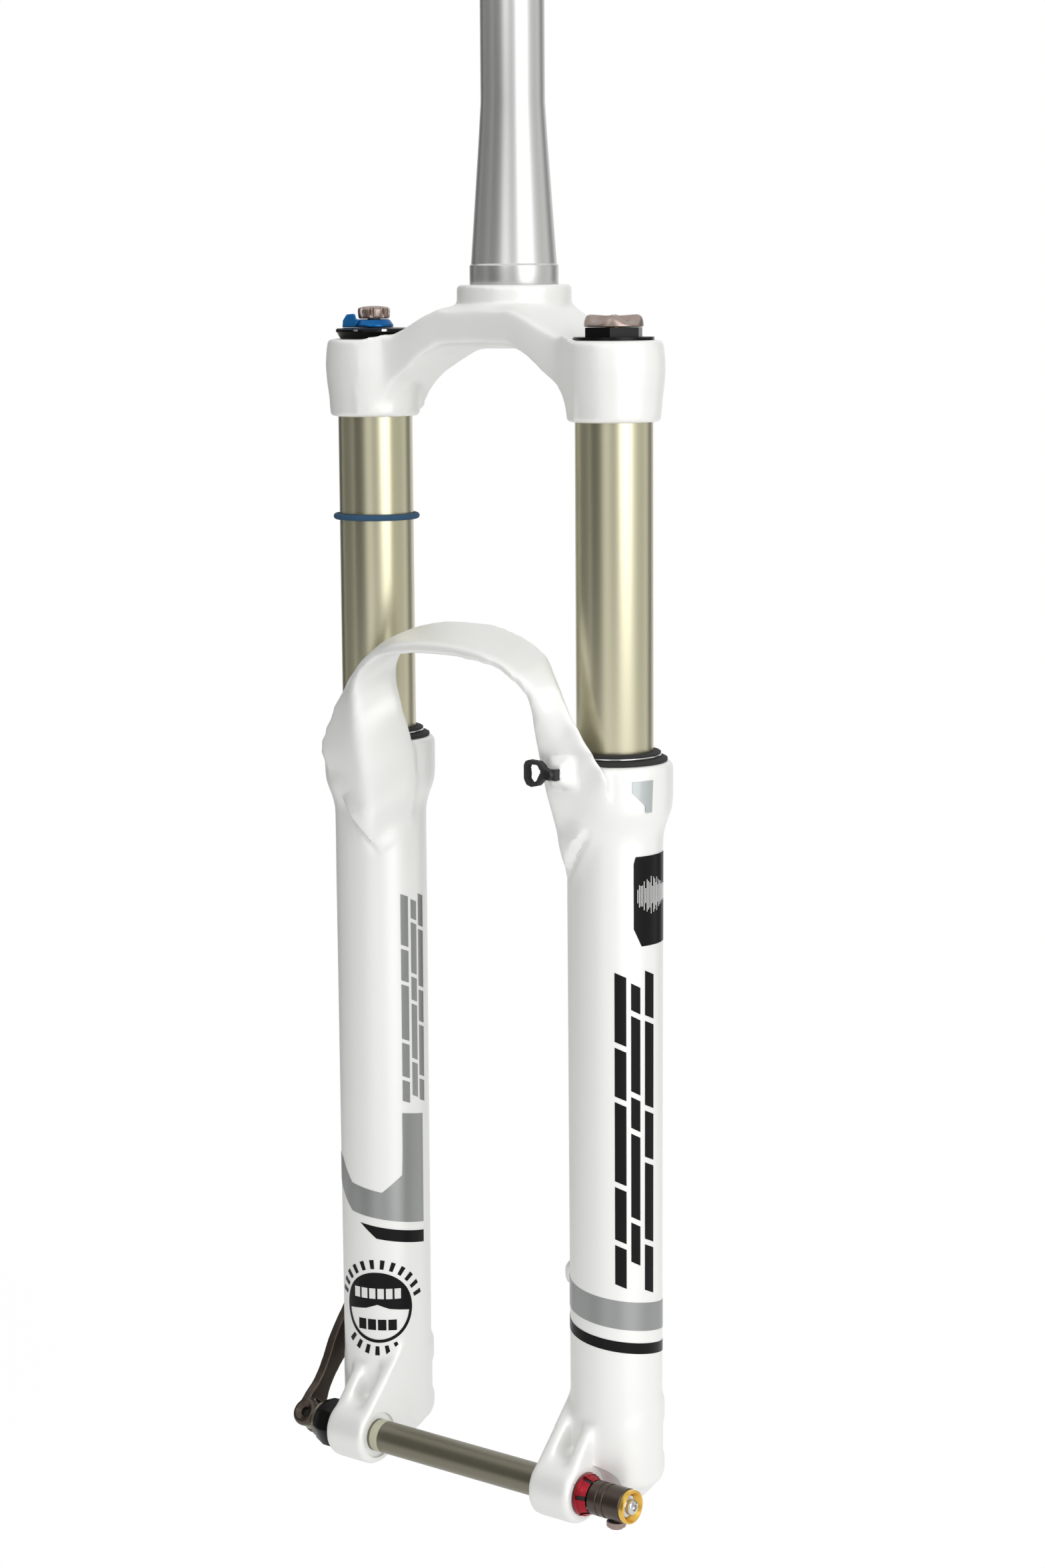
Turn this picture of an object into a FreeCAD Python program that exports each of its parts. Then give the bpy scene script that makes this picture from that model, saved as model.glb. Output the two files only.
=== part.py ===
import FreeCAD, Part
import math
import os
import re
import Sketcher

# Air-sprung bicycle suspension fork for a 15 x 100 mm front axle, 140 mm of travel.
#
# Frame: millimetres, origin on the steerer axis at the crown race seat, +Z up the
# steerer, -Y towards the front of the bicycle, +X towards the rider's left.
# The damper is in the -X leg and the air spring is in the +X leg.

Vector = FreeCAD.Vector
DOC = FreeCAD.newDocument("suspension_fork")
SHEET = DOC.addObject("Spreadsheet::Sheet", "Dims")
NODES = {}

# ---------------------------------------------------------------------------
# Driving sizes. Heights are measured along the steerer from the race seat plane.
# ---------------------------------------------------------------------------
SIZES = {
    # layout
    "leg_x": 68.75, "leg_y": -17.0, "axle_y": -45.4, "axle_z": -535.65, "hub_half": 50.0,
    # steerer tube: 28.6 mm above, 39.8 mm at the race seat
    "steerer_top": 255.0, "clamp_r": 14.3, "clamp_low": 80.0, "seat_r": 19.9, "seat_top": 8.4,
    "cone_r": 19.2, "press_r": 19.6, "steerer_low": -26.0, "steerer_bore": 11.1,
    "steerer_foot_bore": 15.5,
    # stanchions
    "stanchion_r": 17.0, "stanchion_bore": 14.8, "stanchion_top": -24.5, "stanchion_low": -365.0,
    # crown
    "boss_r": 25.7, "boss_low": -8.0, "boss_flare_r": 29.0, "boss_flare_low": -20.0,
    "crown_roof": -9.0, "crown_belly": -31.0, "socket_r": 20.4, "socket_wide": 22.4,
    "socket_top_r": 21.4, "socket_top": -24.0, "socket_low": -59.0, "socket_mid": -36.0,
    "edge_break": 1.2, "crown_front": -27.0, "crown_back": 26.0, "arm_front": -30.0,
    "arm_bend_x": 50.0, "arm_back": 2.0,
    # top caps
    "cap_r": 17.5, "cap_top": -19.0, "plug_r": 14.7, "plug_low": -45.0, "plug_bore": 6.2,
    "flange_top": -22.6, "hex_r": 13.4, "hex_top": -18.6,
    # controls on the damper cap
    "lever_ring_r": 8.9, "lever_top": -15.2, "lever_tab_top": -12.4, "lever_reach": 14.6,
    "knob_r": 7.4, "knob_low": -14.9, "knob_top": -9.1, "spindle_r": 2.0, "spindle_low": -40.0,
    "flute_r": 1.15, "flutes": 9,
    # valve and its cap on the air side
    "valve_r": 4.0, "valve_top": -14.4, "valve_bore": 1.3, "pin_r": 0.9, "pin_low": -34.0,
    "valve_cap_r": 12.9, "valve_cap_top": -13.0, "valve_cap_bore": 4.6, "grip_r": 5.2, "grip_out": 15.6,
    # damper cartridge
    "cartridge_r": 13.4, "cartridge_bore": 12.1, "seal_head_top": -350.0, "seal_head_low": -361.8,
    "rod_r": 5.0, "rod_bore": 1.75, "needle_r": 1.6, "base_valve_top": -62.0, "base_valve_low": -76.0,
    "piston_top": -322.0, "piston_low": -336.0, "piston_r": 11.4, "band_r": 12.0, "band_half": 3.5,
    "circlip_low": -363.4, "circlip_bore": 11.5,
    # air spring
    "air_piston_top": -318.0, "air_piston_low": -334.0, "air_piston_r": 14.1, "air_seal_r": 14.7,
    "groove_low": -328.5, "groove_top": -323.5, "groove_r": 12.4,
    "topout_top": -338.0, "topout_r": 9.0, "bumper_top": -506.6, "bumper_r": 9.5, "slip": 0.06,
    # lower legs
    "leg_floor": -515.0, "leg_bore": 18.0, "leg_relief": 18.7, "head_r": 25.7, "head_top": -207.0,
    "head_low": -229.0, "neck_low": -241.0, "leg_r": 21.3, "leg_foot_r": 20.7, "foot_high": -526.0,
    "foot_bump_r": 22.2, "foot_mid": -533.0, "foot_r": 10.6, "leg_low": -548.0, "sink_top": -531.0,
    "sink_r": 8.2, "bolt_hole_r": 4.2, "seal_pocket_r": 21.5, "seal_pocket_low": -217.0,
    "bush_upper_low": -234.0, "bush_lower_top": -330.0, "bush_lower_low": -346.0,
    "bush_gap": 0.05, "wiper_low": -212.0,
    # arch: a hoop ahead of the stanchions
    "arch_top": -147.0, "arch_bow": -159.0, "arch_bow_x": 48.0, "arch_wide_x": 81.0,
    "arch_wide_z": -206.0, "arch_front": -58.5, "arch_back": -32.0, "arch_chin": -163.0,
    "arch_foot_front": -52.0, "arch_foot_z": -209.0, "arch_end": -258.0,
    "gap_top": -162.0, "gap_base": -200.0, "gap_front_half": 54.5, "gap_back_half": 44.0,
    "gap_power": 2.87, "wiper_clear_r": 24.2, "travel": 140.0, "crown_gap": 1.5,
    # dropouts
    "drop_r": 14.0, "drop_out": 72.5, "axle_r": 7.5, "run_gap": 0.05, "recess_r": 10.8,
    "recess_deep": 1.2, "pocket_r": 13.1, "web_out": 70.0, "web_high": -488.0,
    # disc brake posts on the +X leg
    "post_x": 55.0, "post_face": 9.0, "post_pitch": 74.2, "post_mid": -478.5, "post_r": 6.6,
    "post_hole_r": 2.5, "post_hole_deep": 12.0, "post_web_half": 3.2,
    # wiper seals
    "lip_r": 19.7, "lip_top": -202.5, "flange_r": 23.2, "flange_top_z": -205.2, "garter_z": -204.2,
    "garter_ring": 20.25, "garter_wire": 0.55, "foam_bore": 17.15,
    # feet fasteners
    "bolt_head_r": 7.0, "bolt_head_low": -538.0, "washer_deep": 1.0, "washer_r": 7.6, "shank_r": 4.1,
    "foot_knob_top": -539.0, "foot_knob_low": -547.4, "foot_knob_r": 6.4,
    # O-ring on the damper-side stanchion
    "oring_z": -104.8, "oring_wire": 1.4, "oring_ring": 18.46,
    # hose guide
    "guide_x": 50.5, "guide_y": -54.4, "guide_z": -209.5, "guide_deep": 3.6, "guide_r": 5.0,
    "guide_bore": 2.9, "guide_end": 66.0, "guide_half": 2.6, "screw_x": 62.5, "screw_r": 2.6,
    # axle and quick-release lever, sizes along X from the middle of the hub
    "collar_in": 72.6, "collar_out": 84.0, "collar_r": 12.2, "flange_out": 86.0, "axle_flange_r": 8.6,
    "pivot_out": 93.0, "eye_r": 6.0, "eye_half": 2.5, "lobe_r": 6.7, "lobe_in": 2.8, "lobe_out": 7.6,
    "hinge_r": 2.2, "stud_end": 96.0, "stud_r": 5.5, "shaft_end": 72.0,
    "arm_start": 5.0, "arm_length": 72.0, "arm_half": 6.6, "arm_thick": 5.0, "arm_low": 4.6,
    # expander and nut, at the other end
    "cone_in": 72.6, "cone_out": 78.4, "cone_big": 9.6, "cone_small": 8.6, "nut_in": 78.7,
    "nut_out": 96.6, "nut_r": 7.8, "nut_bore": 5.6, "ring_out": 99.4, "ring_r": 7.6, "ring_bore": 5.0,
    "cap_screw_r": 3.5, "cap_screw_out": 100.3, "thumb_x": 90.0, "thumb_r": 4.4, "thumb_in": 8.1,
    "thumb_out": 11.6, "thumb_shank": 1.5, "thumb_hole": 1.6, "nut_groove": 7.1,
}

# Direction of the closed quick-release lever, up and to the rear, and its hinge axis.
LEVER_DIRECTION = Vector(0, 0.6, 0.8)
LEVER_HINGE = Vector(0, -0.8, 0.6)


def fill_sheet():
    """Write every size as a plain number in the sheet, with its name as the alias."""
    for row, (name, number) in enumerate(SIZES.items(), start=1):
        SHEET.set("A%d" % row, name)
        SHEET.set("B%d" % row, str(number))
        SHEET.setAlias("B%d" % row, name)
    DOC.recompute()


def value(text):
    """Return what a sum such as "leg_r + 2" or "0 - 2*slip" comes to."""
    total = 0.0
    sign = 1.0
    for word in text.split():
        if word in ("+", "-"):
            sign = 1.0 if word == "+" else -1.0
            continue
        product = 1.0
        for factor in word.split("*"):
            product *= SIZES[factor] if factor in SIZES else float(factor)
        total += sign * product
        sign = 1.0
    return total


def bind(text):
    """Turn the bare size names of a sum into references to the sheet."""
    return re.sub(r"[a-z][a-z_0-9]*", lambda word: "Dims." + word.group(0), text)


def place(thing, where=("0", "0", "0"), turn=None):
    """Put an object at a bound position, with an optional fixed rotation."""
    rotation = turn if turn is not None else FreeCAD.Rotation()
    thing.Placement = FreeCAD.Placement(Vector(*[value(axis) for axis in where]), rotation)
    for letter, axis in zip("xyz", where):
        if axis != "0":
            thing.setExpression("Placement.Base." + letter, bind(axis))
    return thing


def keep(thing, label):
    """Give a finished piece the label that names its file."""
    thing.Label = label
    NODES[label] = thing
    return thing


# ---------------------------------------------------------------------------
# Building blocks
# ---------------------------------------------------------------------------
TO_X = FreeCAD.Rotation(Vector(0, 1, 0), 90)
TO_MINUS_X = FreeCAD.Rotation(Vector(0, 1, 0), -90)
TO_Y = FreeCAD.Rotation(Vector(1, 0, 0), -90)
TO_LEVER = FreeCAD.Rotation(LEVER_DIRECTION, LEVER_HINGE, Vector(1, 0, 0), "XYZ")


def outline(body, name, plane, corners):
    """Sketch a closed outline on one of the body's planes, every corner bound to the sheet."""
    sketch = body.newObject("Sketcher::SketchObject", name)
    support = [item for item in body.Origin.OriginFeatures if item.Role == plane][0]
    sketch.AttachmentSupport = (support, [""])
    sketch.MapMode = "FlatFace"
    points = [Vector(value(across), value(up), 0) for across, up in corners]
    count = len(points)
    for index in range(count):
        sketch.addGeometry(Part.LineSegment(points[index], points[(index + 1) % count]), False)
    for index in range(count):
        sketch.addConstraint(Sketcher.Constraint("Coincident", index, 2, (index + 1) % count, 1))
    for index, pair in enumerate(corners):
        for kind, axis, text, number in (("DistanceX", -2, pair[0], points[index].x),
                                         ("DistanceY", -1, pair[1], points[index].y)):
            if text == "0":
                sketch.addConstraint(Sketcher.Constraint("PointOnObject", index, 1, axis))
                continue
            bound = sketch.addConstraint(Sketcher.Constraint(kind, -1, 1, index, 1, number))
            sketch.setExpression("Constraints[%d]" % bound, bind(text))
    return sketch


def turned(name, corners, where=("0", "0", "0"), turn=None):
    """Revolve (radius, height) corners about the body's own Z axis."""
    body = DOC.addObject("PartDesign::Body", name)
    sketch = outline(body, name + "_profile", "XZ_Plane", corners)
    spin = body.newObject("PartDesign::Revolution", name + "_turn")
    spin.Profile = sketch
    spin.ReferenceAxis = (sketch, ["V_Axis"])
    spin.Angle = 360
    sketch.Visibility = False
    return place(body, where, turn)


def tube(name, outer, inner, low, high, where=("0", "0", "0"), turn=None):
    """Turn a plain ring between two heights; an inner radius of "0" makes it solid."""
    return turned(name, [(inner, low), (outer, low), (outer, high), (inner, high)], where, turn)


def slab(name, plane, corners, length, where=("0", "0", "0"), turn=None):
    """Pad an outline half its length to each side of its plane."""
    body = DOC.addObject("PartDesign::Body", name)
    sketch = outline(body, name + "_profile", plane, corners)
    pad = body.newObject("PartDesign::Pad", name + "_pad")
    pad.Profile = sketch
    pad.Midplane = True
    pad.Length = value(length)
    pad.setExpression("Length", bind(length))
    sketch.Visibility = False
    return place(body, where, turn)


def rod(name, radius, length, where, turn=None):
    """Make a Part cylinder that starts at a bound point."""
    solid = DOC.addObject("Part::Cylinder", name)
    solid.Radius = value(radius)
    solid.Height = value(length)
    solid.setExpression("Radius", bind(radius))
    solid.setExpression("Height", bind(length))
    return place(solid, where, turn)


def polygon(name, sides, radius, length, where, turn=None):
    """Make a Part prism with a regular outline."""
    solid = DOC.addObject("Part::Prism", name)
    solid.Polygon = sides
    solid.Circumradius = value(radius)
    solid.Height = value(length)
    solid.setExpression("Circumradius", bind(radius))
    solid.setExpression("Height", bind(length))
    return place(solid, where, turn)


def hoop(name, ring, wire, where):
    """Make a Part torus about Z."""
    solid = DOC.addObject("Part::Torus", name)
    solid.Radius1 = value(ring)
    solid.Radius2 = value(wire)
    solid.setExpression("Radius1", bind(ring))
    solid.setExpression("Radius2", bind(wire))
    return place(solid, where)


def joined(name, solids):
    """Fuse several solids into one, each onto the sum of those before it."""
    total = solids[0]
    for step, solid in enumerate(solids[1:], start=1):
        fusion = DOC.addObject("Part::Fuse", "%s_sum_%d" % (name, step))
        fusion.Base = total
        fusion.Tool = solid
        total = fusion
    return total


def shared(name, solids):
    """Keep what several solids have in common."""
    common = DOC.addObject("Part::MultiCommon", name)
    common.Shapes = solids
    return common


def without(name, base, tools):
    """Cut one or more tools out of a solid, one after the other."""
    rest = base
    for step, tool in enumerate(tools, start=1):
        cut = DOC.addObject("Part::Cut", "%s_cut_%d" % (name, step))
        cut.Base = rest
        cut.Tool = tool
        rest = cut
    return rest


def legs():
    """Yield each leg's name and the place of its axis, damper side first."""
    yield "damper", ("0 - leg_x", "leg_y", "0")
    yield "air", ("leg_x", "leg_y", "0")


DAMPER = ("0 - leg_x", "leg_y", "0")
AIR = ("leg_x", "leg_y", "0")


def raised(where, height):
    """Return a leg's place with another height."""
    return (where[0], where[1], height)


# ---------------------------------------------------------------------------
# Steerer, crown and stanchions
# ---------------------------------------------------------------------------
def build_steerer():
    """Tapered steerer with its race seat, open right through."""
    keep(turned("steerer_tube", [
        ("steerer_foot_bore", "steerer_low"), ("press_r", "steerer_low"), ("press_r", "0"),
        ("seat_r", "0"), ("seat_r", "seat_top"),
        ("cone_r", "seat_top + 0.6"), ("clamp_r", "clamp_low"), ("clamp_r", "steerer_top - 0.6"),
        ("clamp_r - 0.6", "steerer_top"), ("steerer_bore", "steerer_top"),
        ("steerer_bore", "clamp_low"), ("steerer_foot_bore", "seat_top"),
    ]), "steerer_tube")


def build_crown():
    """Crown: a flared boss, two arms that drop to the sockets, and an arched belly."""
    boss = turned("crown_boss", [
        ("0", "crown_belly"), ("boss_r - 1", "crown_belly"), ("boss_flare_r", "boss_flare_low"),
        ("boss_r + 0.8", "boss_low - 4"), ("boss_r", "boss_low"),
        ("boss_r", "0 - edge_break"), ("boss_r - edge_break", "0"), ("0", "0"),
    ])
    half_front = [("25", "crown_roof"), ("34", "crown_roof - 6"), ("50", "socket_top - 1"),
                  ("leg_x", "socket_top - 2"), ("leg_x", "socket_low + 3"), ("49", "socket_low + 3"),
                  ("30", "crown_belly - 5"), ("19", "crown_belly")]
    half_plan = [("0", "crown_front"), ("30", "arm_front"), ("arm_bend_x", "arm_front"),
                 ("leg_x", "arm_front - 5"),
                 ("leg_x", "arm_back"), ("32", "12"), ("0", "crown_back")]
    arms = shared("crown_arms", [
        slab("crown_front_view", "XZ_Plane", half_front + mirrored(half_front), "120"),
        slab("crown_plan_view", "XY_Plane", half_plan + mirrored(half_plan[1:-1]), "120"),
    ])
    solids = [boss, arms]
    holes = [rod("steerer_socket", "press_r", "0 - steerer_low + 1", ("0", "0", "steerer_low")),
             rod("crown_hollow", "seat_r - 2", "20", ("0", "0", "crown_belly - 5"))]
    for side, where in legs():
        solids.append(turned("crown_socket_" + side, [
            ("0", "socket_low"), ("socket_r - edge_break", "socket_low"),
            ("socket_r", "socket_low + edge_break"), ("socket_r + 0.3", "socket_low + 8"),
            ("socket_wide", "socket_mid"), ("socket_top_r", "socket_top - edge_break"),
            ("socket_top_r - edge_break", "socket_top"), ("0", "socket_top"),
        ], where))
        holes.append(rod("stanchion_hole_" + side, "stanchion_r", "60", raised(where, "socket_low - 1")))
        holes.append(rod("cap_seat_" + side, "cap_r + 0.4", "20", raised(where, "socket_top")))
    keep(without("crown", joined("crown_blank", solids), holes), "crown")


def mirrored(half):
    """Mirror the corners of a half outline about its middle, in reverse order."""
    return [("0 - " + across if across != "0" else "0", up) for across, up in reversed(half)]


def build_stanchions():
    """Two stanchion tubes, each with a chamfered lower end."""
    for side, where in legs():
        keep(turned("stanchion_" + side, [
            ("stanchion_bore", "stanchion_low"), ("stanchion_r - 0.8", "stanchion_low"),
            ("stanchion_r", "stanchion_low + 1.5"), ("stanchion_r", "stanchion_top"),
            ("stanchion_bore", "stanchion_top"),
        ], where), "stanchion_" + side)


# ---------------------------------------------------------------------------
# Damper side, -X
# ---------------------------------------------------------------------------
def build_damper_top():
    """Damper top cap with its two controls."""
    keep(turned("damper_top_cap", [
        ("plug_bore - 4", "plug_low"), ("plug_r", "plug_low"), ("plug_r", "socket_top"),
        ("cap_r - 1.2", "socket_top"), ("cap_r", "socket_top + 1.6"), ("cap_r", "cap_top - 1.4"),
        ("cap_r - 1.4", "cap_top"), ("plug_bore - 4", "cap_top"),
    ], DAMPER), "damper_top_cap")
    ring = turned("lever_ring", [
        ("spindle_r + 0.3", "cap_top + 0.1"), ("lever_ring_r", "cap_top + 0.1"),
        ("lever_ring_r", "lever_top - 0.8"), ("lever_ring_r - 0.8", "lever_top"),
        ("spindle_r + 0.3", "lever_top"),
    ], DAMPER)
    tab = slab("lever_tab", "XY_Plane", [("6.5", "0 - 3.6"), ("lever_reach", "0 - 1.8"),
                                         ("lever_reach", "1.8"), ("6.5", "3.6")],
               "lever_tab_top - cap_top - 0.4",
               raised(DAMPER, "0.5*lever_tab_top + 0.5*cap_top"),
               FreeCAD.Rotation(Vector(0, 0, 1), 219))
    tab_room = rod("knob_room", "knob_r + 0.4", "8", raised(DAMPER, "lever_top"))
    tab_cut = without("lever_tab_cut", tab, [tab_room])
    keep(joined("compression_lever", [ring, tab_cut]), "compression_lever")

    blank = turned("knob_blank", [
        ("0", "spindle_low"), ("spindle_r - 0.1", "spindle_low"), ("spindle_r - 0.1", "knob_low"),
        ("knob_r - 0.5", "knob_low"), ("knob_r", "knob_low + 0.5"), ("knob_r", "knob_top - 1"),
        ("knob_r - 1", "knob_top - 0.2"), ("0", "knob_top"),
    ], DAMPER)
    flutes = []
    count = int(SIZES["flutes"])
    for index in range(count):
        angle = 2.0 * math.pi * index / count
        where = ("0 - leg_x + %.4f*knob_r" % math.cos(angle), "leg_y + %.4f*knob_r" % math.sin(angle),
                 "knob_low + 1.4")
        flutes.append(rod("knob_flute_%d" % index, "flute_r", "10", where))
    keep(without("threshold_knob", blank, flutes), "threshold_knob")


def build_damper_internals():
    """Closed cartridge, base valve, rod, piston and seal head inside the damper stanchion."""
    keep(tube("damper_cartridge", "cartridge_r", "cartridge_bore", "seal_head_top", "plug_low", DAMPER),
         "damper_cartridge")
    keep(turned("base_valve", [
        ("0", "base_valve_low"), ("cartridge_bore - 1", "base_valve_low"),
        ("cartridge_bore", "base_valve_low + 3"), ("cartridge_bore", "base_valve_top - 3"),
        ("cartridge_bore - 3", "base_valve_top"), ("4", "base_valve_top"), ("4", "plug_low"),
        ("0", "plug_low"),
    ], DAMPER), "base_valve")
    keep(turned("damper_rod", [
        ("rod_bore", "leg_floor"), ("rod_r", "leg_floor"), ("rod_r", "piston_low"),
        ("rod_r - 1.5", "piston_low"), ("rod_r - 1.5", "piston_top + 3"), ("rod_bore", "piston_top + 3"),
    ], DAMPER), "damper_rod")
    keep(turned("rebound_piston", [
        ("rod_r - 1.5", "piston_low"), ("piston_r", "piston_low"), ("piston_r", "piston_top"),
        ("rod_r - 1.5", "piston_top"),
    ], DAMPER), "rebound_piston")
    keep(tube("glide_band", "band_r", "piston_r", "piston_low + band_half", "piston_top - band_half", DAMPER),
         "glide_band")
    keep(turned("rebound_needle", [
        ("0", "foot_knob_top"), ("needle_r", "foot_knob_top"), ("needle_r", "piston_low - 6"),
        ("0.3", "piston_top"), ("0", "piston_top"),
    ], DAMPER), "rebound_needle")


def build_seal_heads():
    """Each stanchion is closed below by a seal head held by a circlip."""
    for side, where in legs():
        keep(turned("seal_head_" + side, [
            ("rod_r + slip", "seal_head_low"), ("stanchion_bore", "seal_head_low"),
            ("stanchion_bore", "seal_head_top"), ("rod_r + 2", "seal_head_top"),
            ("rod_r + slip", "seal_head_top - 2"),
        ], where), "seal_head_" + side)
        keep(tube("circlip_" + side, "stanchion_bore", "circlip_bore", "circlip_low", "seal_head_low", where),
             "circlip_" + side)


# ---------------------------------------------------------------------------
# Air side, +X
# ---------------------------------------------------------------------------
def build_air_top():
    """Air top cap with a hexagon, valve stem, valve pin and valve cap."""
    flange = turned("air_cap_flange", [
        ("valve_r", "plug_low"), ("plug_r", "plug_low"), ("plug_r", "socket_top"),
        ("cap_r", "socket_top"), ("cap_r", "flange_top"), ("valve_r", "flange_top"),
    ], AIR)
    hexagon = without("air_cap_hex", polygon("air_hex_blank", 6, "hex_r", "hex_top - flange_top",
                                             raised(AIR, "flange_top")),
                      [rod("air_hex_bore", "valve_r", "20", raised(AIR, "flange_top - 5"))])
    keep(joined("air_top_cap", [flange, hexagon]), "air_top_cap")
    keep(turned("air_valve_stem", [
        ("valve_bore", "plug_low"), ("valve_r", "plug_low"), ("valve_r", "valve_top - 0.4"),
        ("valve_r - 0.4", "valve_top"), ("valve_bore", "valve_top"),
    ], AIR), "air_valve_stem")
    keep(tube("valve_pin", "pin_r", "0", "pin_low", "valve_top - 0.3", AIR), "valve_pin")
    blank = turned("valve_cap_blank", [
        ("0", "hex_top + 0.3"), ("valve_cap_r", "hex_top + 0.3"), ("valve_cap_r", "valve_cap_top - 1.4"),
        ("valve_cap_r - 2.6", "valve_cap_top - 0.2"), ("0", "valve_cap_top"),
    ], AIR)
    cuts = [rod("valve_cap_room", "valve_cap_bore", "valve_top + 0.3 - hex_top",
                raised(AIR, "hex_top"))]
    for index in range(4):
        angle = math.radians(45.0 + 90.0 * index)
        where = ("leg_x + %.4f*grip_out" % math.cos(angle), "leg_y + %.4f*grip_out" % math.sin(angle),
                 "hex_top")
        cuts.append(rod("valve_cap_scallop_%d" % index, "grip_r", "20", where))
    keep(without("valve_cap", blank, cuts), "valve_cap")


def build_air_internals():
    """Air shaft with its piston and seal, top-out pad and bottom-out bumper."""
    keep(turned("air_shaft", [
        ("0", "leg_floor"), ("rod_r", "leg_floor"), ("rod_r", "air_piston_low"),
        ("rod_r - 1.5", "air_piston_low"), ("rod_r - 1.5", "air_piston_top"), ("0", "air_piston_top"),
    ], AIR), "air_shaft")
    keep(turned("air_piston", [
        ("rod_r - 1.5", "air_piston_low"), ("air_piston_r", "air_piston_low"), ("air_piston_r", "groove_low"),
        ("groove_r", "groove_low"), ("groove_r", "groove_top"), ("air_piston_r", "groove_top"),
        ("air_piston_r", "air_piston_top"), ("rod_r - 1.5", "air_piston_top"),
    ], AIR), "air_piston")
    keep(tube("air_piston_seal", "air_seal_r", "groove_r", "groove_low", "groove_top", AIR),
         "air_piston_seal")
    pad = tube("top_out_pad", "topout_r", "rod_r + 0.4", "seal_head_top + 0.2", "topout_top", AIR)
    keep(pad, "top_out_pad")
    keep(tube("bottom_out_bumper", "bumper_r", "rod_r", "leg_floor", "bumper_top", AIR), "bottom_out_bumper")


# ---------------------------------------------------------------------------
# Lower legs: one casting with arch, dropouts and brake posts
# ---------------------------------------------------------------------------
def leg_blank(side, where):
    """Outside of one leg: seal head, neck, long taper and a coned foot."""
    return turned("leg_" + side, [
        ("0", "leg_low"), ("foot_r", "leg_low"), ("foot_bump_r", "foot_mid"),
        ("foot_bump_r", "foot_high - 1"), ("leg_foot_r", "foot_high + 1"), ("leg_r", "neck_low"),
        ("head_r", "head_low"), ("head_r", "head_top - edge_break"),
        ("head_r - edge_break", "head_top"), ("0", "head_top"),
    ], where)


def leg_bore(side, where):
    """Inside of one leg: seal pocket, two bushing seats, relief, bolt hole and counterbore."""
    return turned("leg_bore_" + side, [
        ("0", "leg_low - 1"), ("sink_r", "leg_low - 1"), ("sink_r", "sink_top"),
        ("bolt_hole_r", "sink_top"), ("bolt_hole_r", "leg_floor"), ("leg_bore - 2", "leg_floor"),
        ("leg_bore", "leg_floor + 4"), ("leg_bore", "bush_lower_top"),
        ("leg_relief", "bush_lower_top"), ("leg_relief", "bush_upper_low"),
        ("leg_bore", "bush_upper_low"), ("leg_bore", "seal_pocket_low"),
        ("seal_pocket_r", "seal_pocket_low"), ("seal_pocket_r", "head_top + 1"), ("0", "head_top + 1"),
    ], where)


def gap_wire(half_width, distance):
    """Closed curve under the arch: a superellipse above a straight-sided leg gap."""
    power = SIZES["gap_power"]
    rise = SIZES["gap_top"] - SIZES["gap_base"]
    points = []
    steps = 24
    for index in range(steps + 1):
        angle = math.pi * index / steps
        across = half_width * math.copysign(abs(math.cos(angle)) ** (2.0 / power), math.cos(angle))
        up = rise * math.sin(angle) ** (2.0 / power) if 0 < index < steps else 0.0
        points.append(Vector(across, distance, SIZES["gap_base"] + up))
    curve = Part.BSplineCurve()
    curve.interpolate(points)
    low = SIZES["arch_end"] - 40
    corners = [points[-1], Vector(-half_width, distance, low), Vector(half_width, distance, low), points[0]]
    return Part.Wire([curve.toShape(), *Part.makePolygon(corners).Edges])


def build_arch():
    """Arch hoop: front view, side view and a splayed wheel gap."""
    hoop_view = DOC.addObject("Part::Feature", "arch_front_view")
    bow = Part.Arc(Vector(-SIZES["arch_bow_x"], 0, SIZES["arch_bow"]),
                   Vector(0, 0, SIZES["arch_top"]),
                   Vector(SIZES["arch_bow_x"], 0, SIZES["arch_bow"]))
    side = [Vector(SIZES["arch_bow_x"], 0, SIZES["arch_bow"]),
            Vector(SIZES["arch_wide_x"], 0, SIZES["arch_wide_z"]),
            Vector(SIZES["leg_x"] + 9, 0, SIZES["head_low"]),
            Vector(SIZES["leg_x"] - 8, 0, SIZES["arch_end"])]
    run = side + [Vector(-corner.x, 0, corner.z) for corner in reversed(side)]
    wire = Part.Wire([bow.toShape(), *Part.makePolygon(run).Edges])
    hoop_view.Shape = Part.Face(wire).extrude(Vector(0, -80, 0))

    side_view = slab("arch_side_view", "YZ_Plane", [
        ("arch_back", "arch_top + 1"), ("arch_back - 3", "arch_top + 0.4"),
        ("arch_front", "arch_chin + 2"), ("arch_front", "arch_chin - 20"),
        ("arch_foot_front", "arch_foot_z"), ("leg_y - leg_r + 1", "arch_end"), ("leg_y", "arch_end"),
        ("leg_y", "arch_wide_z"), ("arch_back + 2", "gap_top"),
    ], "240")

    wheel_gap = DOC.addObject("Part::Feature", "arch_wheel_gap")
    wheel_gap.Shape = Part.makeLoft([gap_wire(SIZES["gap_front_half"], SIZES["arch_front"] - 2),
                                     gap_wire(SIZES["gap_back_half"], SIZES["leg_y"] + 2)], True, True)
    clear = [rod("wiper_room_" + side_name, "wiper_clear_r", "80", raised(where, "head_top"))
             for side_name, where in legs()]
    solid = shared("arch_blank", [hoop_view, side_view])
    return without("arch", solid, [wheel_gap, crown_room(), *clear])


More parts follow.
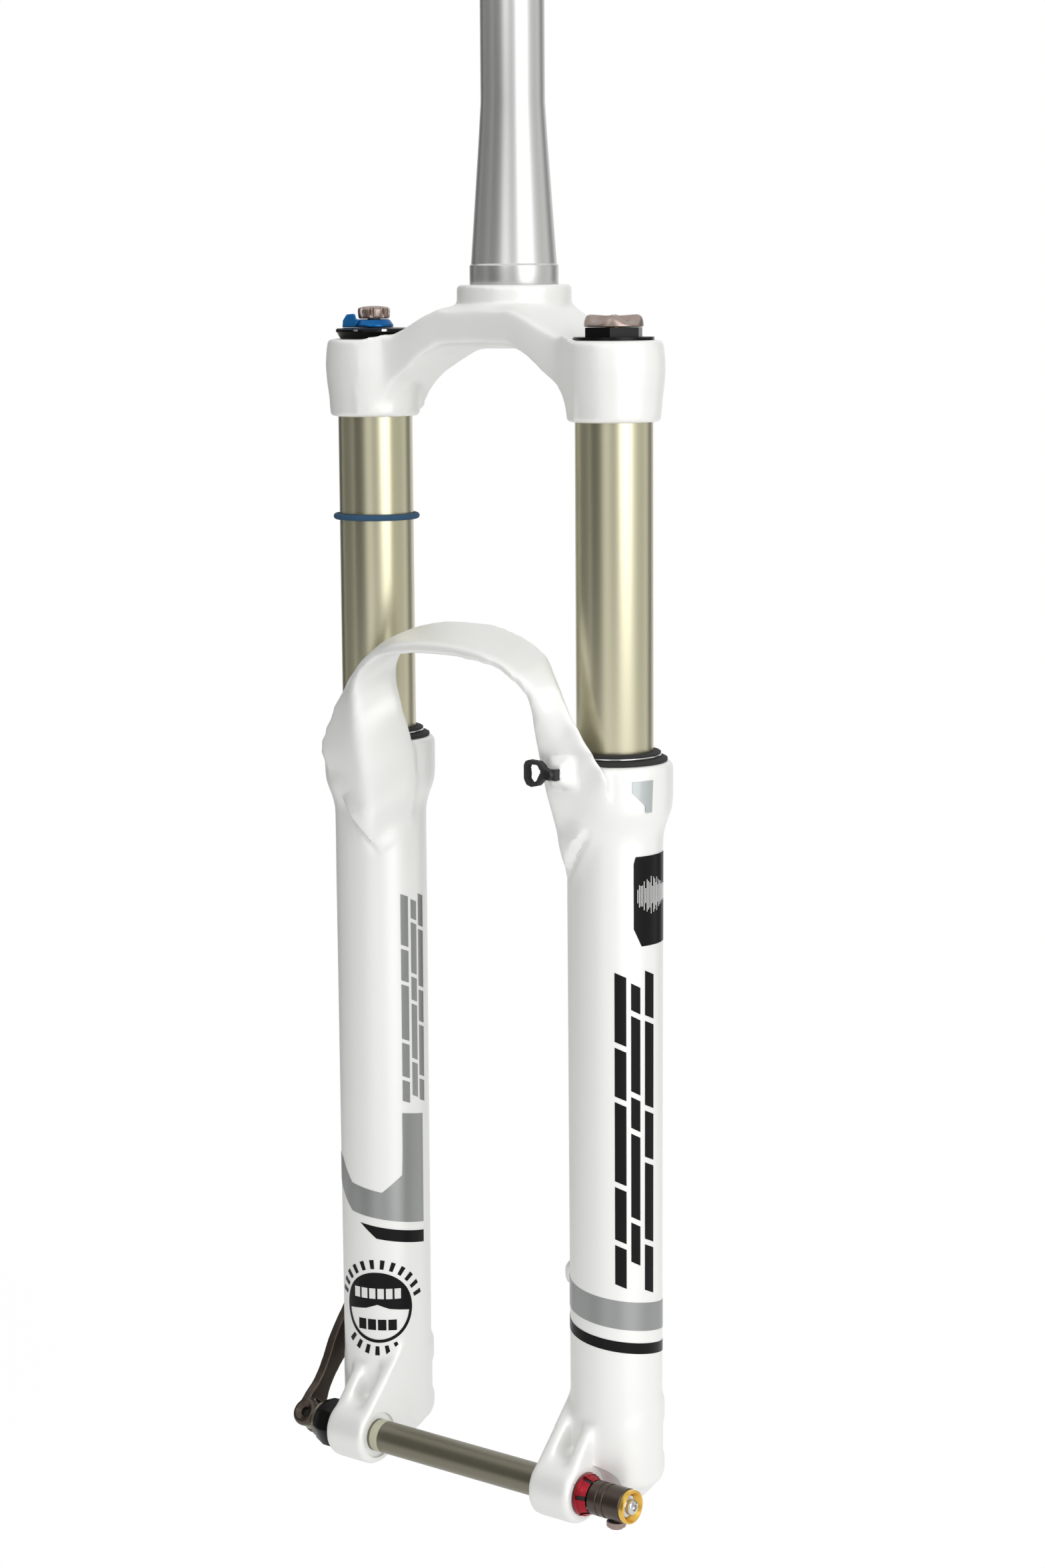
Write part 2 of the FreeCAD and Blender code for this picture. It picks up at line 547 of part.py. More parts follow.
def crown_room():
    """Room behind the arch for the crown, which comes down past it at full travel."""
    belly = [("54", "0 - 57"), ("46", "0 - 56"), ("43", "0 - 45"), ("38", "0 - 38"), ("30", "0 - 31"),
             ("20", "0 - 27")]
    low = [(across, up + " - travel - crown_gap") for across, up in belly]
    half = [("54", "arch_top + 5")] + low
    place = ("0", "arm_front - crown_gap + 30", "0")
    return slab("crown_room", "XZ_Plane", half + mirrored(half), "60", place)


def build_dropouts():
    """Dropout bosses and the webs that carry them ahead of the legs."""
    solids = []
    for side, sign in (("damper", "0 - "), ("air", "0 + ")):
        rotation = TO_MINUS_X if side == "damper" else TO_X
        solids.append(rod("drop_boss_" + side, "drop_r", "drop_out - hub_half",
                          (sign + "hub_half", "axle_y", "axle_z"), rotation))
        solids.append(slab("drop_web_" + side, "YZ_Plane", [
            ("axle_y - drop_r + 0.4", "axle_z"), ("axle_y - drop_r + 4", "axle_z + 14"),
            ("leg_y - leg_foot_r + 1", "web_high"), ("leg_y - 6", "web_high"), ("leg_y - 6", "leg_low + 3"),
            ("axle_y", "axle_z - drop_r + 0.2"), ("axle_y - 8", "axle_z - 11"),
        ], "web_out - hub_half - 3", (sign + "0.5*web_out " + sign[2] + " 0.5*hub_half", "0", "0")))
    return solids


def build_brake_posts():
    """Two tapped posts for a disc brake caliper, behind the +X leg."""
    solids = []
    holes = []
    for name, offset in (("upper", "post_mid + 0.5*post_pitch"), ("lower", "post_mid - 0.5*post_pitch")):
        foot = ("post_x", "leg_y + 5", offset)
        solids.append(rod("post_" + name, "post_r", "post_face - leg_y - 5", foot, TO_Y))
        holes.append(rod("post_hole_" + name, "post_hole_r", "post_hole_deep + 1",
                         ("post_x", "post_face - post_hole_deep", offset), TO_Y))
    solids.append(slab("post_web", "YZ_Plane", [
        ("leg_y + 5", "post_mid - 0.5*post_pitch"), ("post_face - 3", "post_mid - 0.5*post_pitch"),
        ("leg_y + 20", "post_mid"), ("post_face - 3", "post_mid + 0.5*post_pitch"),
        ("leg_y + 5", "post_mid + 0.5*post_pitch + 16"),
    ], "2*post_web_half", ("post_x", "0", "0")))
    return solids, holes


def build_lower_casting():
    """Both legs, arch, dropouts and brake posts as one casting."""
    solids = [leg_blank(side, where) for side, where in legs()]
    solids.append(build_arch())
    solids.extend(build_dropouts())
    posts, holes = build_brake_posts()
    solids.extend(posts)
    tools = [leg_bore(side, where) for side, where in legs()]
    tools.extend(holes)
    tools.append(rod("axle_hole", "axle_r + run_gap", "2*drop_out + 10",
                     ("0 - drop_out - 5", "axle_y", "axle_z"), TO_X))
    tools.append(rod("hub_recess", "recess_r", "2*hub_half + 2*recess_deep",
                     ("0 - hub_half - recess_deep", "axle_y", "axle_z"), TO_X))
    for side, sign, rotation in (("damper", "0 - ", TO_MINUS_X), ("air", "0 + ", TO_X)):
        face = (sign + "drop_out", "axle_y", "axle_z")
        tools.append(rod("pocket_" + side, "pocket_r", "30", face, rotation))
    keep(without("lower_casting", joined("casting_blank", solids), tools), "lower_casting")


def build_leg_fittings():
    """Bushings, foam rings, wiper seals and garter springs of both legs."""
    for side, where in legs():
        keep(tube("bushing_upper_" + side, "leg_bore", "stanchion_r + bush_gap", "bush_upper_low",
                  "seal_pocket_low", where), "bushing_upper_" + side)
        keep(tube("bushing_lower_" + side, "leg_bore", "stanchion_r + bush_gap", "bush_lower_low",
                  "bush_lower_top", where), "bushing_lower_" + side)
        keep(tube("foam_ring_" + side, "seal_pocket_r", "foam_bore", "seal_pocket_low", "wiper_low", where),
             "foam_ring_" + side)
        keep(turned("wiper_seal_" + side, [
            ("stanchion_r + 0.1", "wiper_low"), ("seal_pocket_r", "wiper_low"), ("seal_pocket_r", "head_top"),
            ("flange_r", "head_top"), ("flange_r", "flange_top_z - 0.6"), ("flange_r - 1.2", "flange_top_z"),
            ("garter_ring - garter_wire", "flange_top_z"), ("garter_ring - garter_wire", "lip_top - 0.9"),
            ("lip_r", "lip_top - 0.6"), ("stanchion_r + 0.8", "lip_top"),
        ("stanchion_r + 0.1", "lip_top - 0.4"),
        ], where), "wiper_seal_" + side)
        keep(hoop("garter_spring_" + side, "garter_ring", "garter_wire", raised(where, "garter_z")),
             "garter_spring_" + side)


def build_foot_fasteners():
    """Foot bolt, hollow foot nut, crush washers and the rebound knob below the damper leg."""
    keep(turned("foot_bolt", [
        ("0", "bolt_head_low"), ("bolt_head_r", "bolt_head_low"), ("bolt_head_r", "sink_top - washer_deep"),
        ("shank_r", "sink_top - washer_deep"), ("shank_r", "leg_floor"), ("0", "leg_floor"),
    ], AIR), "foot_bolt")
    keep(turned("foot_nut", [
        ("rod_bore", "bolt_head_low"), ("bolt_head_r", "bolt_head_low"),
        ("bolt_head_r", "sink_top - washer_deep"), ("shank_r", "sink_top - washer_deep"),
        ("shank_r", "leg_floor"), ("rod_bore", "leg_floor"),
    ], DAMPER), "foot_nut")
    washers = [tube("crush_washer_" + side, "washer_r", "shank_r", "sink_top - washer_deep", "sink_top", where)
               for side, where in legs()]
    keep(joined("crush_washers", washers), "crush_washers")
    blank = tube("foot_knob_blank", "foot_knob_r", "0", "foot_knob_low", "foot_knob_top", DAMPER)
    cuts = []
    for index in range(6):
        angle = math.radians(60.0 * index)
        where = ("0 - leg_x + %.4f*foot_knob_r" % math.cos(angle),
                 "leg_y + %.4f*foot_knob_r" % math.sin(angle), "foot_knob_low - 1")
        cuts.append(rod("foot_knob_flute_%d" % index, "flute_r", "12", where))
    keep(without("rebound_knob", blank, cuts), "rebound_knob")


def build_oring():
    """Travel indicator O-ring."""
    keep(hoop("travel_oring", "oring_ring", "oring_wire", raised(DAMPER, "oring_z")), "travel_oring")


def build_hose_guide():
    """Hose guide loop on the front of the +X arch foot, with its screw."""
    middle = ("guide_x", "guide_y", "guide_z")
    loop_front = ("guide_x", "guide_y - 0.5*guide_deep", "guide_z")
    loop = rod("guide_loop", "guide_r", "guide_deep", loop_front, TO_Y)
    stem = slab("guide_stem", "XZ_Plane", [("3", "0 - guide_half"), ("guide_end - guide_x", "0 - guide_half"),
                                           ("guide_end - guide_x", "guide_half"), ("3", "guide_half")],
                "guide_deep", middle)
    cuts = [rod("guide_hole", "guide_bore", "20", ("guide_x", "guide_y - 10", "guide_z"), TO_Y),
            rod("guide_screw_hole", "screw_r - 1", "20", ("screw_x", "guide_y - 10", "guide_z"), TO_Y)]
    keep(without("hose_guide", joined("guide_blank", [loop, stem]), cuts), "hose_guide")
    keep(turned("hose_guide_screw", [
        ("0", "0 - 0.5*guide_deep"), ("screw_r - 1", "0 - 0.5*guide_deep"), ("screw_r - 1", "0.5*guide_deep"),
        ("screw_r", "0.5*guide_deep"), ("screw_r - 0.6", "0.5*guide_deep + 1.4"), ("0", "0.5*guide_deep + 1.4"),
    ], ("screw_x", "guide_y", "guide_z"), FreeCAD.Rotation(Vector(1, 0, 0), 90)), "hose_guide_screw")


# ---------------------------------------------------------------------------
# Axle with its quick-release lever, -X end
# ---------------------------------------------------------------------------
def lever_place(out="0", across="0", up="0"):
    """Return a place near the lever hinge: out along X, then offsets in Y and Z."""
    return ("0 - pivot_out + " + out, "axle_y + " + across, "axle_z + " + up)


def build_axle():
    """Axle tube with a flange and a hinge eye at one end and a stud at the other."""
    collar = polygon("collar_blank", 8, "collar_r", "collar_out - collar_in",
                     ("0 - collar_in", "axle_y", "axle_z"), TO_MINUS_X)
    hole_start = ("0 - collar_out - 5", "axle_y", "axle_z")
    collar_hole = rod("collar_hole", "axle_r + run_gap", "40", hole_start, TO_X)
    keep(without("axle_collar", collar, [collar_hole]), "axle_collar")

    shaft = turned("axle_shaft", [
        ("0", "0 - flange_out"), ("axle_flange_r", "0 - flange_out"),
        ("axle_flange_r", "0 - collar_out - 0.6"), ("axle_r", "0 - collar_out - 0.6"),
        ("axle_r", "shaft_end - 0.6"), ("axle_r - 0.6", "shaft_end"), ("stud_r", "shaft_end"),
        ("stud_r", "stud_end"), ("0", "stud_end"),
    ], ("0", "axle_y", "axle_z"), TO_X)
    eye = rod("axle_eye", "eye_r", "2*eye_half", lever_place("0", "0.8*eye_half", "0 - 0.6*eye_half"),
              TO_LEVER.multiply(TO_Y))
    neck = DOC.addObject("Part::Box", "axle_neck")
    neck.setExpression("Length", bind("2*eye_r - 2"))
    neck.setExpression("Width", bind("2*eye_half"))
    neck.setExpression("Height", bind("pivot_out - flange_out + 0.5"))
    place(neck, lever_place("0", "0 - 0.6*eye_r + 0.6 + 0.8*eye_half",
                            "0 - 0.8*eye_r + 0.8 - 0.6*eye_half"), TO_LEVER)
    hole = rod("axle_eye_hole", "hinge_r + run_gap", "20",
               lever_place("0", "8", "0 - 6"), TO_LEVER.multiply(TO_Y))
    keep(without("axle", joined("axle_blank", [shaft, eye, neck]), [hole]), "axle")


def build_lever():
    """Quick-release lever: a two-lobed fork about the eye, a tapered arm and a hinge pin."""
    lobes = rod("lever_lobes", "lobe_r", "2*lobe_out",
                lever_place("0", "0.8*lobe_out", "0 - 0.6*lobe_out"), TO_LEVER.multiply(TO_Y))
    arm = slab("lever_arm", "XY_Plane", [
        ("0", "0 - lobe_out"), ("arm_start + 8", "0 - arm_half"), ("arm_length - 3", "0 - arm_half + 2"),
        ("arm_length", "0 - arm_half + 4"), ("arm_length", "arm_half - 4"), ("arm_length - 3", "arm_half - 2"),
        ("arm_start + 8", "arm_half"), ("0", "lobe_out"),
    ], "arm_thick", lever_place("0.5*arm_thick - arm_low"), TO_LEVER)
    slot = slab("lever_slot", "XY_Plane", [("0 - 12", "0 - lobe_in"), ("eye_r + 1.5", "0 - lobe_in"),
                                           ("eye_r + 1.5", "lobe_in"), ("0 - 12", "lobe_in")],
                "30", lever_place(), TO_LEVER)
    hole = rod("lever_hole", "hinge_r", "30", lever_place("0", "12", "0 - 9"), TO_LEVER.multiply(TO_Y))
    keep(without("quick_release_lever", joined("lever_blank", [lobes, arm]), [slot, hole]),
         "quick_release_lever")
    keep(rod("lever_pin", "hinge_r", "2*lobe_out",
             lever_place("0", "0.8*lobe_out", "0 - 0.6*lobe_out"), TO_LEVER.multiply(TO_Y)), "lever_pin")


# ---------------------------------------------------------------------------
# Expander and tension nut, +X end
# ---------------------------------------------------------------------------
def build_nut_end():
    """Slotted expander, grooved tension nut, its end ring and screw, and the thumb screw."""
    centre = ("0", "axle_y", "axle_z")
    cone = turned("expander_blank", [
        ("stud_r + 0.1", "cone_in"), ("cone_big", "cone_in"), ("cone_big", "cone_in + 2.4"),
        ("cone_small", "cone_out"), ("stud_r + 0.1", "cone_out"),
    ], centre, TO_X)
    slots = []
    for index in range(3):
        slot = DOC.addObject("Part::Box", "expander_slot_%d" % index)
        slot.Length = 30
        slot.Width = 1.2
        slot.setExpression("Height", bind("cone_out - cone_in"))
        turn = TO_X.multiply(FreeCAD.Rotation(Vector(0, 0, 1), 60 * index))
        place(slot, ("cone_in + 2.4", "axle_y", "axle_z"), turn)
        slots.append(slot)
    keep(without("expander", cone, slots), "expander")

    nut = turned("nut_blank", [
        ("nut_bore", "nut_in"), ("nut_r", "nut_in"), ("nut_r", "nut_in + 4"),
        ("nut_groove", "nut_in + 4"), ("nut_groove", "nut_in + 5"), ("nut_r", "nut_in + 5"),
        ("nut_r", "nut_in + 7"), ("nut_groove", "nut_in + 7"), ("nut_groove", "nut_in + 8"),
        ("nut_r", "nut_in + 8"), ("nut_r", "nut_out"), ("nut_bore", "nut_out"),
    ], centre, TO_X)
    hole = rod("thumb_hole", "thumb_hole", "12", ("thumb_x", "axle_y", "axle_z - 14"))
    keep(without("tension_nut", nut, [hole]), "tension_nut")
    keep(turned("nut_end_ring", [
        ("ring_bore", "nut_out"), ("ring_r", "nut_out"), ("ring_r", "ring_out - 0.8"),
        ("ring_r - 0.8", "ring_out"), ("ring_bore", "ring_out"),
    ], centre, TO_X), "nut_end_ring")
    keep(turned("nut_end_screw", [
        ("0", "nut_out + 0.2"), ("ring_bore", "nut_out + 0.2"), ("ring_bore", "nut_out + 1.4"),
        ("cap_screw_r", "nut_out + 1.4"), ("cap_screw_r", "cap_screw_out - 0.4"),
        ("cap_screw_r - 0.4", "cap_screw_out"), ("0", "cap_screw_out"),
    ], centre, TO_X), "nut_end_screw")
    keep(turned("thumb_screw", [
        ("0", "0 - thumb_out"), ("thumb_r - 0.6", "0 - thumb_out"), ("thumb_r", "0 - thumb_out + 0.6"),
        ("thumb_r", "0 - thumb_in - 0.4"), ("thumb_r - 0.4", "0 - thumb_in"),
        ("thumb_shank", "0 - thumb_in"), ("thumb_shank", "0 - nut_bore - 0.3"), ("0", "0 - nut_bore - 0.3"),
    ], ("thumb_x", "axle_y", "axle_z")), "thumb_screw")


# ---------------------------------------------------------------------------
# Build, test and write
# ---------------------------------------------------------------------------
def check_and_write():
    """Stop if any object failed, else write one file for each piece."""
    DOC.recompute()
    for thing in DOC.Objects:
        if "Invalid" in thing.State or "Error" in thing.State:
            raise RuntimeError("%s failed: %s" % (thing.Name, thing.State))
    for label, thing in NODES.items():
        shape = thing.Shape
        if shape.isNull() or not shape.isValid() or shape.Volume <= 0:
            raise RuntimeError("%s has no valid shape" % label)
        print("%-26s solids %d  volume %9.1f" % (label, len(shape.Solids), shape.Volume))
    os.makedirs("parts", exist_ok=True)
    for label, thing in NODES.items():
        thing.Shape.exportStep("parts/%s.step" % label)


fill_sheet()
build_steerer()
build_crown()
build_stanchions()
build_damper_top()
build_damper_internals()
build_seal_heads()
build_air_top()
build_air_internals()
build_lower_casting()
build_leg_fittings()
build_foot_fasteners()
build_oring()
build_hose_guide()
build_axle()
build_lever()
build_nut_end()
check_and_write()
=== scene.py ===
import functools
import logging
import math
from dataclasses import dataclass
from enum import Enum
from typing import Iterable, Sequence

import bmesh
import bpy
from mathutils import Matrix, Vector


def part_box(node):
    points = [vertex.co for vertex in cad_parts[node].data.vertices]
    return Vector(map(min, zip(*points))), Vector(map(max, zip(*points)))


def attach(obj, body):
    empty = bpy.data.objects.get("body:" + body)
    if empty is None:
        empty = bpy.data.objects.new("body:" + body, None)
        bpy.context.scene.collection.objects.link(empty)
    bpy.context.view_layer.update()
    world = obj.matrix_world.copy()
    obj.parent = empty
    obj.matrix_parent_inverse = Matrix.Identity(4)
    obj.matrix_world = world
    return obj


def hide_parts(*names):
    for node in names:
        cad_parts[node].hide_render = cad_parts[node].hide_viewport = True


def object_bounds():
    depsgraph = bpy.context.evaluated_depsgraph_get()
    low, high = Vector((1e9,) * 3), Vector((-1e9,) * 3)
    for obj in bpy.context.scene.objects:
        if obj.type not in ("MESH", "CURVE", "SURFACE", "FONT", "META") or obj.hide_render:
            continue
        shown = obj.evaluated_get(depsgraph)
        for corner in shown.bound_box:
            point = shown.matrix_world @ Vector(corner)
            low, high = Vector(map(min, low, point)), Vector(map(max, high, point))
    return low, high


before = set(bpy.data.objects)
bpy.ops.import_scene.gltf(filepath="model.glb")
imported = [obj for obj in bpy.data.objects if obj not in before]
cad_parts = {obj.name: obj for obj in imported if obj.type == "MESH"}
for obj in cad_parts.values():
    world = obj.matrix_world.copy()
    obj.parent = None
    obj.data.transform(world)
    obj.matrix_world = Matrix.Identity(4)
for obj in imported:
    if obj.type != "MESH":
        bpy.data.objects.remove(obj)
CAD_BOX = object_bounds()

# Meshes are shaped in millimetres and scaled to metres when a piece is finished.
MM = 0.001
LOG = logging.getLogger("fork")
Point = tuple[float, float, float]
Profile = Sequence[tuple[float, float]]


class Side(Enum):
    """The two legs, named after what is inside them."""

    DAMPER = "damper"
    AIR = "air"

    @property
    def sign(self) -> int:
        """Return -1 for the leg on -X and 1 for the leg on +X."""
        return -1 if self is Side.DAMPER else 1

    @functools.cached_property
    def axis(self) -> Vector:
        """Return the middle of this leg's stanchion in plan, in millimetres."""
        centre = middle("stanchion_" + self.value)
        return Vector((centre.x, centre.y, 0.0))


class Axis(Enum):
    """Directions a turned piece can point in, as rotations away from +Z."""

    UP = Matrix.Identity(4)
    PLUS_X = Matrix.Rotation(math.radians(90), 4, "Y")
    MINUS_Y = Matrix.Rotation(math.radians(90), 4, "X")


def middle(node: str) -> Vector:
    """Return the middle of a CAD node's box in millimetres."""
    low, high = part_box(node)
    return (low + high) / 2 / MM


# ---------------------------------------------------------------------------
# Mesh building
# ---------------------------------------------------------------------------
def lathe(profile: Profile, ring: bool = False, steps: int = 96, at: Iterable[float] = (0, 0, 0),
          axis: Axis = Axis.UP) -> bmesh.types.BMesh:
    """Spin a profile of radii and heights into a closed solid or ring.

    Args:
        profile: Radius and height of each corner, in millimetres.
        ring: Whether the last corner joins back to the first, for a hollow piece.
        steps: Number of facets round the axis.
        at: Where the profile's zero height goes.
        axis: Direction that the heights run in.

    Returns:
        A new mesh with its normals outwards.
    """
    mesh = bmesh.new()
    verts = [mesh.verts.new((radius, 0, height)) for radius, height in profile]
    edges = [mesh.edges.new(pair) for pair in zip(verts, verts[1:])]
    if ring:
        edges.append(mesh.edges.new((verts[-1], verts[0])))
    bmesh.ops.spin(mesh, geom=verts + edges, cent=(0, 0, 0), axis=(0, 0, 1), dvec=(0, 0, 0),
                   angle=math.tau, steps=steps, use_merge=True, use_duplicate=False)
    bmesh.ops.remove_doubles(mesh, verts=mesh.verts, dist=1e-4)
    bmesh.ops.recalc_face_normals(mesh, faces=mesh.faces)
    return moved(mesh, Matrix.Translation(Vector(at)) @ axis.value)


def moved(mesh: bmesh.types.BMesh, matrix: Matrix) -> bmesh.types.BMesh:
    """Move a mesh by a matrix and return it."""
    bmesh.ops.transform(mesh, matrix=matrix, verts=mesh.verts)
    return mesh


def plate(outline: Sequence[tuple[float, float]], thick: float, round_by: float = 0.0,
          segments: int = 4) -> bmesh.types.BMesh:
    """Extrude an outline in XZ towards -Y and +Y, half the thickness each way.

    Args:
        outline: Corners in order, as X and Z.
        thick: Thickness along Y.
        round_by: Radius put on every corner of the outline.
        segments: Steps in each rounded corner.

    Returns:
        A closed slab.
    """
    mesh = bmesh.new()
    mesh.faces.new([mesh.verts.new((x, -thick / 2, z)) for x, z in outline])
    if round_by:
        bmesh.ops.bevel(mesh, geom=mesh.verts[:], offset=round_by, offset_type="OFFSET", segments=segments,
                        profile=0.5, affect="VERTICES", material=-1, clamp_overlap=True)
    grown = bmesh.ops.extrude_face_region(mesh, geom=mesh.faces[:])
    bmesh.ops.translate(mesh, vec=(0, thick, 0),
                        verts=[item for item in grown["geom"] if isinstance(item, bmesh.types.BMVert)])
    bmesh.ops.recalc_face_normals(mesh, faces=mesh.faces)
    return mesh


def soften(mesh: bmesh.types.BMesh, width: float, segments: int = 3, sharper_than: float = 28.0
           ) -> bmesh.types.BMesh:
    """Round every sharp edge of a mesh.

    Args:
        mesh: Mesh to work on, changed in place.
        width: Width of the rounding in millimetres.
        segments: Steps across each rounding.
        sharper_than: Angle in degrees past which an edge is rounded.

    Returns:
        The same mesh.
    """
    limit = math.radians(sharper_than)
    edges = [edge for edge in mesh.edges if edge.is_manifold and edge.calc_face_angle(0.0) > limit]
    bmesh.ops.bevel(mesh, geom=edges, offset=width, offset_type="OFFSET", segments=segments, profile=0.5,
                    affect="EDGES", material=-1, clamp_overlap=True)
    return mesh


def together(meshes: Sequence[bmesh.types.BMesh]) -> bmesh.types.BMesh:
    """Put several meshes into one, without joining their surfaces.

    Args:
        meshes: Meshes to gather; they are used up.

    Returns:
        One mesh that holds them all.
    """
    total = bmesh.new()
    for mesh in meshes:
        data = bpy.data.meshes.new("part")
        mesh.to_mesh(data)
        mesh.free()
        total.from_mesh(data)
        bpy.data.meshes.remove(data)
    return total


def helper(mesh: bmesh.types.BMesh) -> bpy.types.Object:
    """Make a passing object for a modifier to work on.

    Args:
        mesh: Mesh to put in it; it is used up.

    Returns:
        The object, linked to the scene.
    """
    data = bpy.data.meshes.new("helper")
    mesh.to_mesh(data)
    mesh.free()
    thing = bpy.data.objects.new("helper", data)
    bpy.context.scene.collection.objects.link(thing)
    return thing


def applied(thing: bpy.types.Object) -> bmesh.types.BMesh:
    """Apply a helper's modifiers and remove the helper.

    Args:
        thing: Object made by helper().

    Returns:
        Its finished mesh.
    """
    evaluated = thing.evaluated_get(bpy.context.evaluated_depsgraph_get())
    mesh = bmesh.new()
    mesh.from_mesh(evaluated.to_mesh())
    evaluated.to_mesh_clear()
    bpy.data.meshes.remove(thing.data)
    return mesh


def combined(base: bmesh.types.BMesh, tools: Sequence[bmesh.types.BMesh], operation: str = "DIFFERENCE"
             ) -> bmesh.types.BMesh:
    """Cut tools out of a base, or add them to it.

    Args:
        base: Closed mesh to work on; it is used up.
        tools: Closed meshes; they are used up.
        operation: DIFFERENCE, UNION or INTERSECT.

    Returns:
        The resulting closed mesh.
    """
    thing = helper(base)
    others = [helper(tool) for tool in tools]
    for other in others:
        modifier = thing.modifiers.new("combine", "BOOLEAN")
        modifier.operation = operation
        modifier.solver = "EXACT"
        modifier.object = other
    mesh = applied(thing)
    for other in others:
        bpy.data.meshes.remove(other.data)
    return mesh


def cast(meshes: Sequence[bmesh.types.BMesh], voxel: float) -> bmesh.types.BMesh:
    """Run overlapping solids into one skin, as in a casting.

    Args:
        meshes: Closed meshes that overlap; they are used up.
        voxel: Size of the new skin's faces in millimetres.

    Returns:
        One even skin round all of them.
    """
    thing = helper(together(meshes))
    modifier = thing.modifiers.new("skin", "REMESH")
    modifier.mode = "VOXEL"
    modifier.voxel_size = voxel
    return applied(thing)


def relax(mesh: bmesh.types.BMesh, passes: int, verts: Sequence[bmesh.types.BMVert] | None = None) -> None:
    """Smooth some or all of a mesh by half-strength passes.

    Args:
        mesh: Mesh to work on, changed in place.
        passes: Number of passes.
        verts: Points to smooth, or None for all of them.
    """
    chosen = mesh.verts[:] if verts is None else list(verts)
    for _ in range(passes):
        bmesh.ops.smooth_vert(mesh, verts=chosen, factor=0.5, use_axis_x=True, use_axis_y=True, use_axis_z=True)


def loft(rings: Sequence[Sequence[Point]]) -> bmesh.types.BMesh:
    """Bridge closed rings of points, one after the other, and cap both ends.

    Args:
        rings: Rings in order, each with the same number of points.

    Returns:
        A closed mesh.
    """
    mesh = bmesh.new()
    loops = []
    for ring in rings:
        verts = [mesh.verts.new(point) for point in ring]
        loops.append([mesh.edges.new((verts[i], verts[(i + 1) % len(verts)])) for i in range(len(verts))])
    for first, second in zip(loops, loops[1:]):
        bmesh.ops.bridge_loops(mesh, edges=first + second)
    for end in (loops[0], loops[-1]):
        bmesh.ops.contextual_create(mesh, geom=end)
    bmesh.ops.recalc_face_normals(mesh, faces=mesh.faces)
    return mesh


@dataclass
class Piece:
    """A finished mesh on its way into the scene."""

    name: str
    body: str
    finish: "Finish"
    stands_for: tuple[str, ...] = ()
    slot: str = ""
    crease: float = 35.0

    def place(self, mesh: bmesh.types.BMesh) -> bpy.types.Object:
        """Scale a mesh to metres, shade it, dress it and hang it on its body.

        Args:
            mesh: Finished mesh in millimetres; it is used up.

        Returns:
            The new object, at the origin.
        """
        bmesh.ops.scale(mesh, vec=(MM, MM, MM), verts=mesh.verts)
        data = bpy.data.meshes.new(self.name)
        mesh.to_mesh(data)
        mesh.free()
        data.shade_smooth()
        data.set_sharp_from_angle(angle=math.radians(self.crease))
        data.materials.append(self.finish.material())
        thing = bpy.data.objects.new(self.name, data)
        bpy.context.scene.collection.objects.link(thing)
        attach(thing, self.body)
        if self.stands_for:
            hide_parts(*self.stands_for)
        LOG.info("%s: %d faces on %s", self.name, len(data.polygons), self.body)
        return thing


# ---------------------------------------------------------------------------
# Finishes
# ---------------------------------------------------------------------------
def new_group(name: str, inputs: dict[str, float], outputs: Sequence[str]) -> bpy.types.NodeTree:
    """Start a shader node group.

    Args:
        name: Name of the group.
        inputs: Number inputs with their defaults, beside the vector input called Place.
        outputs: Number outputs.

    Returns:
        The group, with its input node named in and its output node named out.
    """
    tree = bpy.data.node_groups.new(name, "ShaderNodeTree")
    tree.interface.new_socket("Place", in_out="INPUT", socket_type="NodeSocketVector")
    for label, default in inputs.items():
        socket = tree.interface.new_socket(label, in_out="INPUT", socket_type="NodeSocketFloat")
        socket.default_value = default
    for label in outputs:
        tree.interface.new_socket(label, in_out="OUTPUT", socket_type="NodeSocketFloat")
    tree.nodes.new("NodeGroupInput").name = "in"
    tree.nodes.new("NodeGroupOutput").name = "out"
    return tree


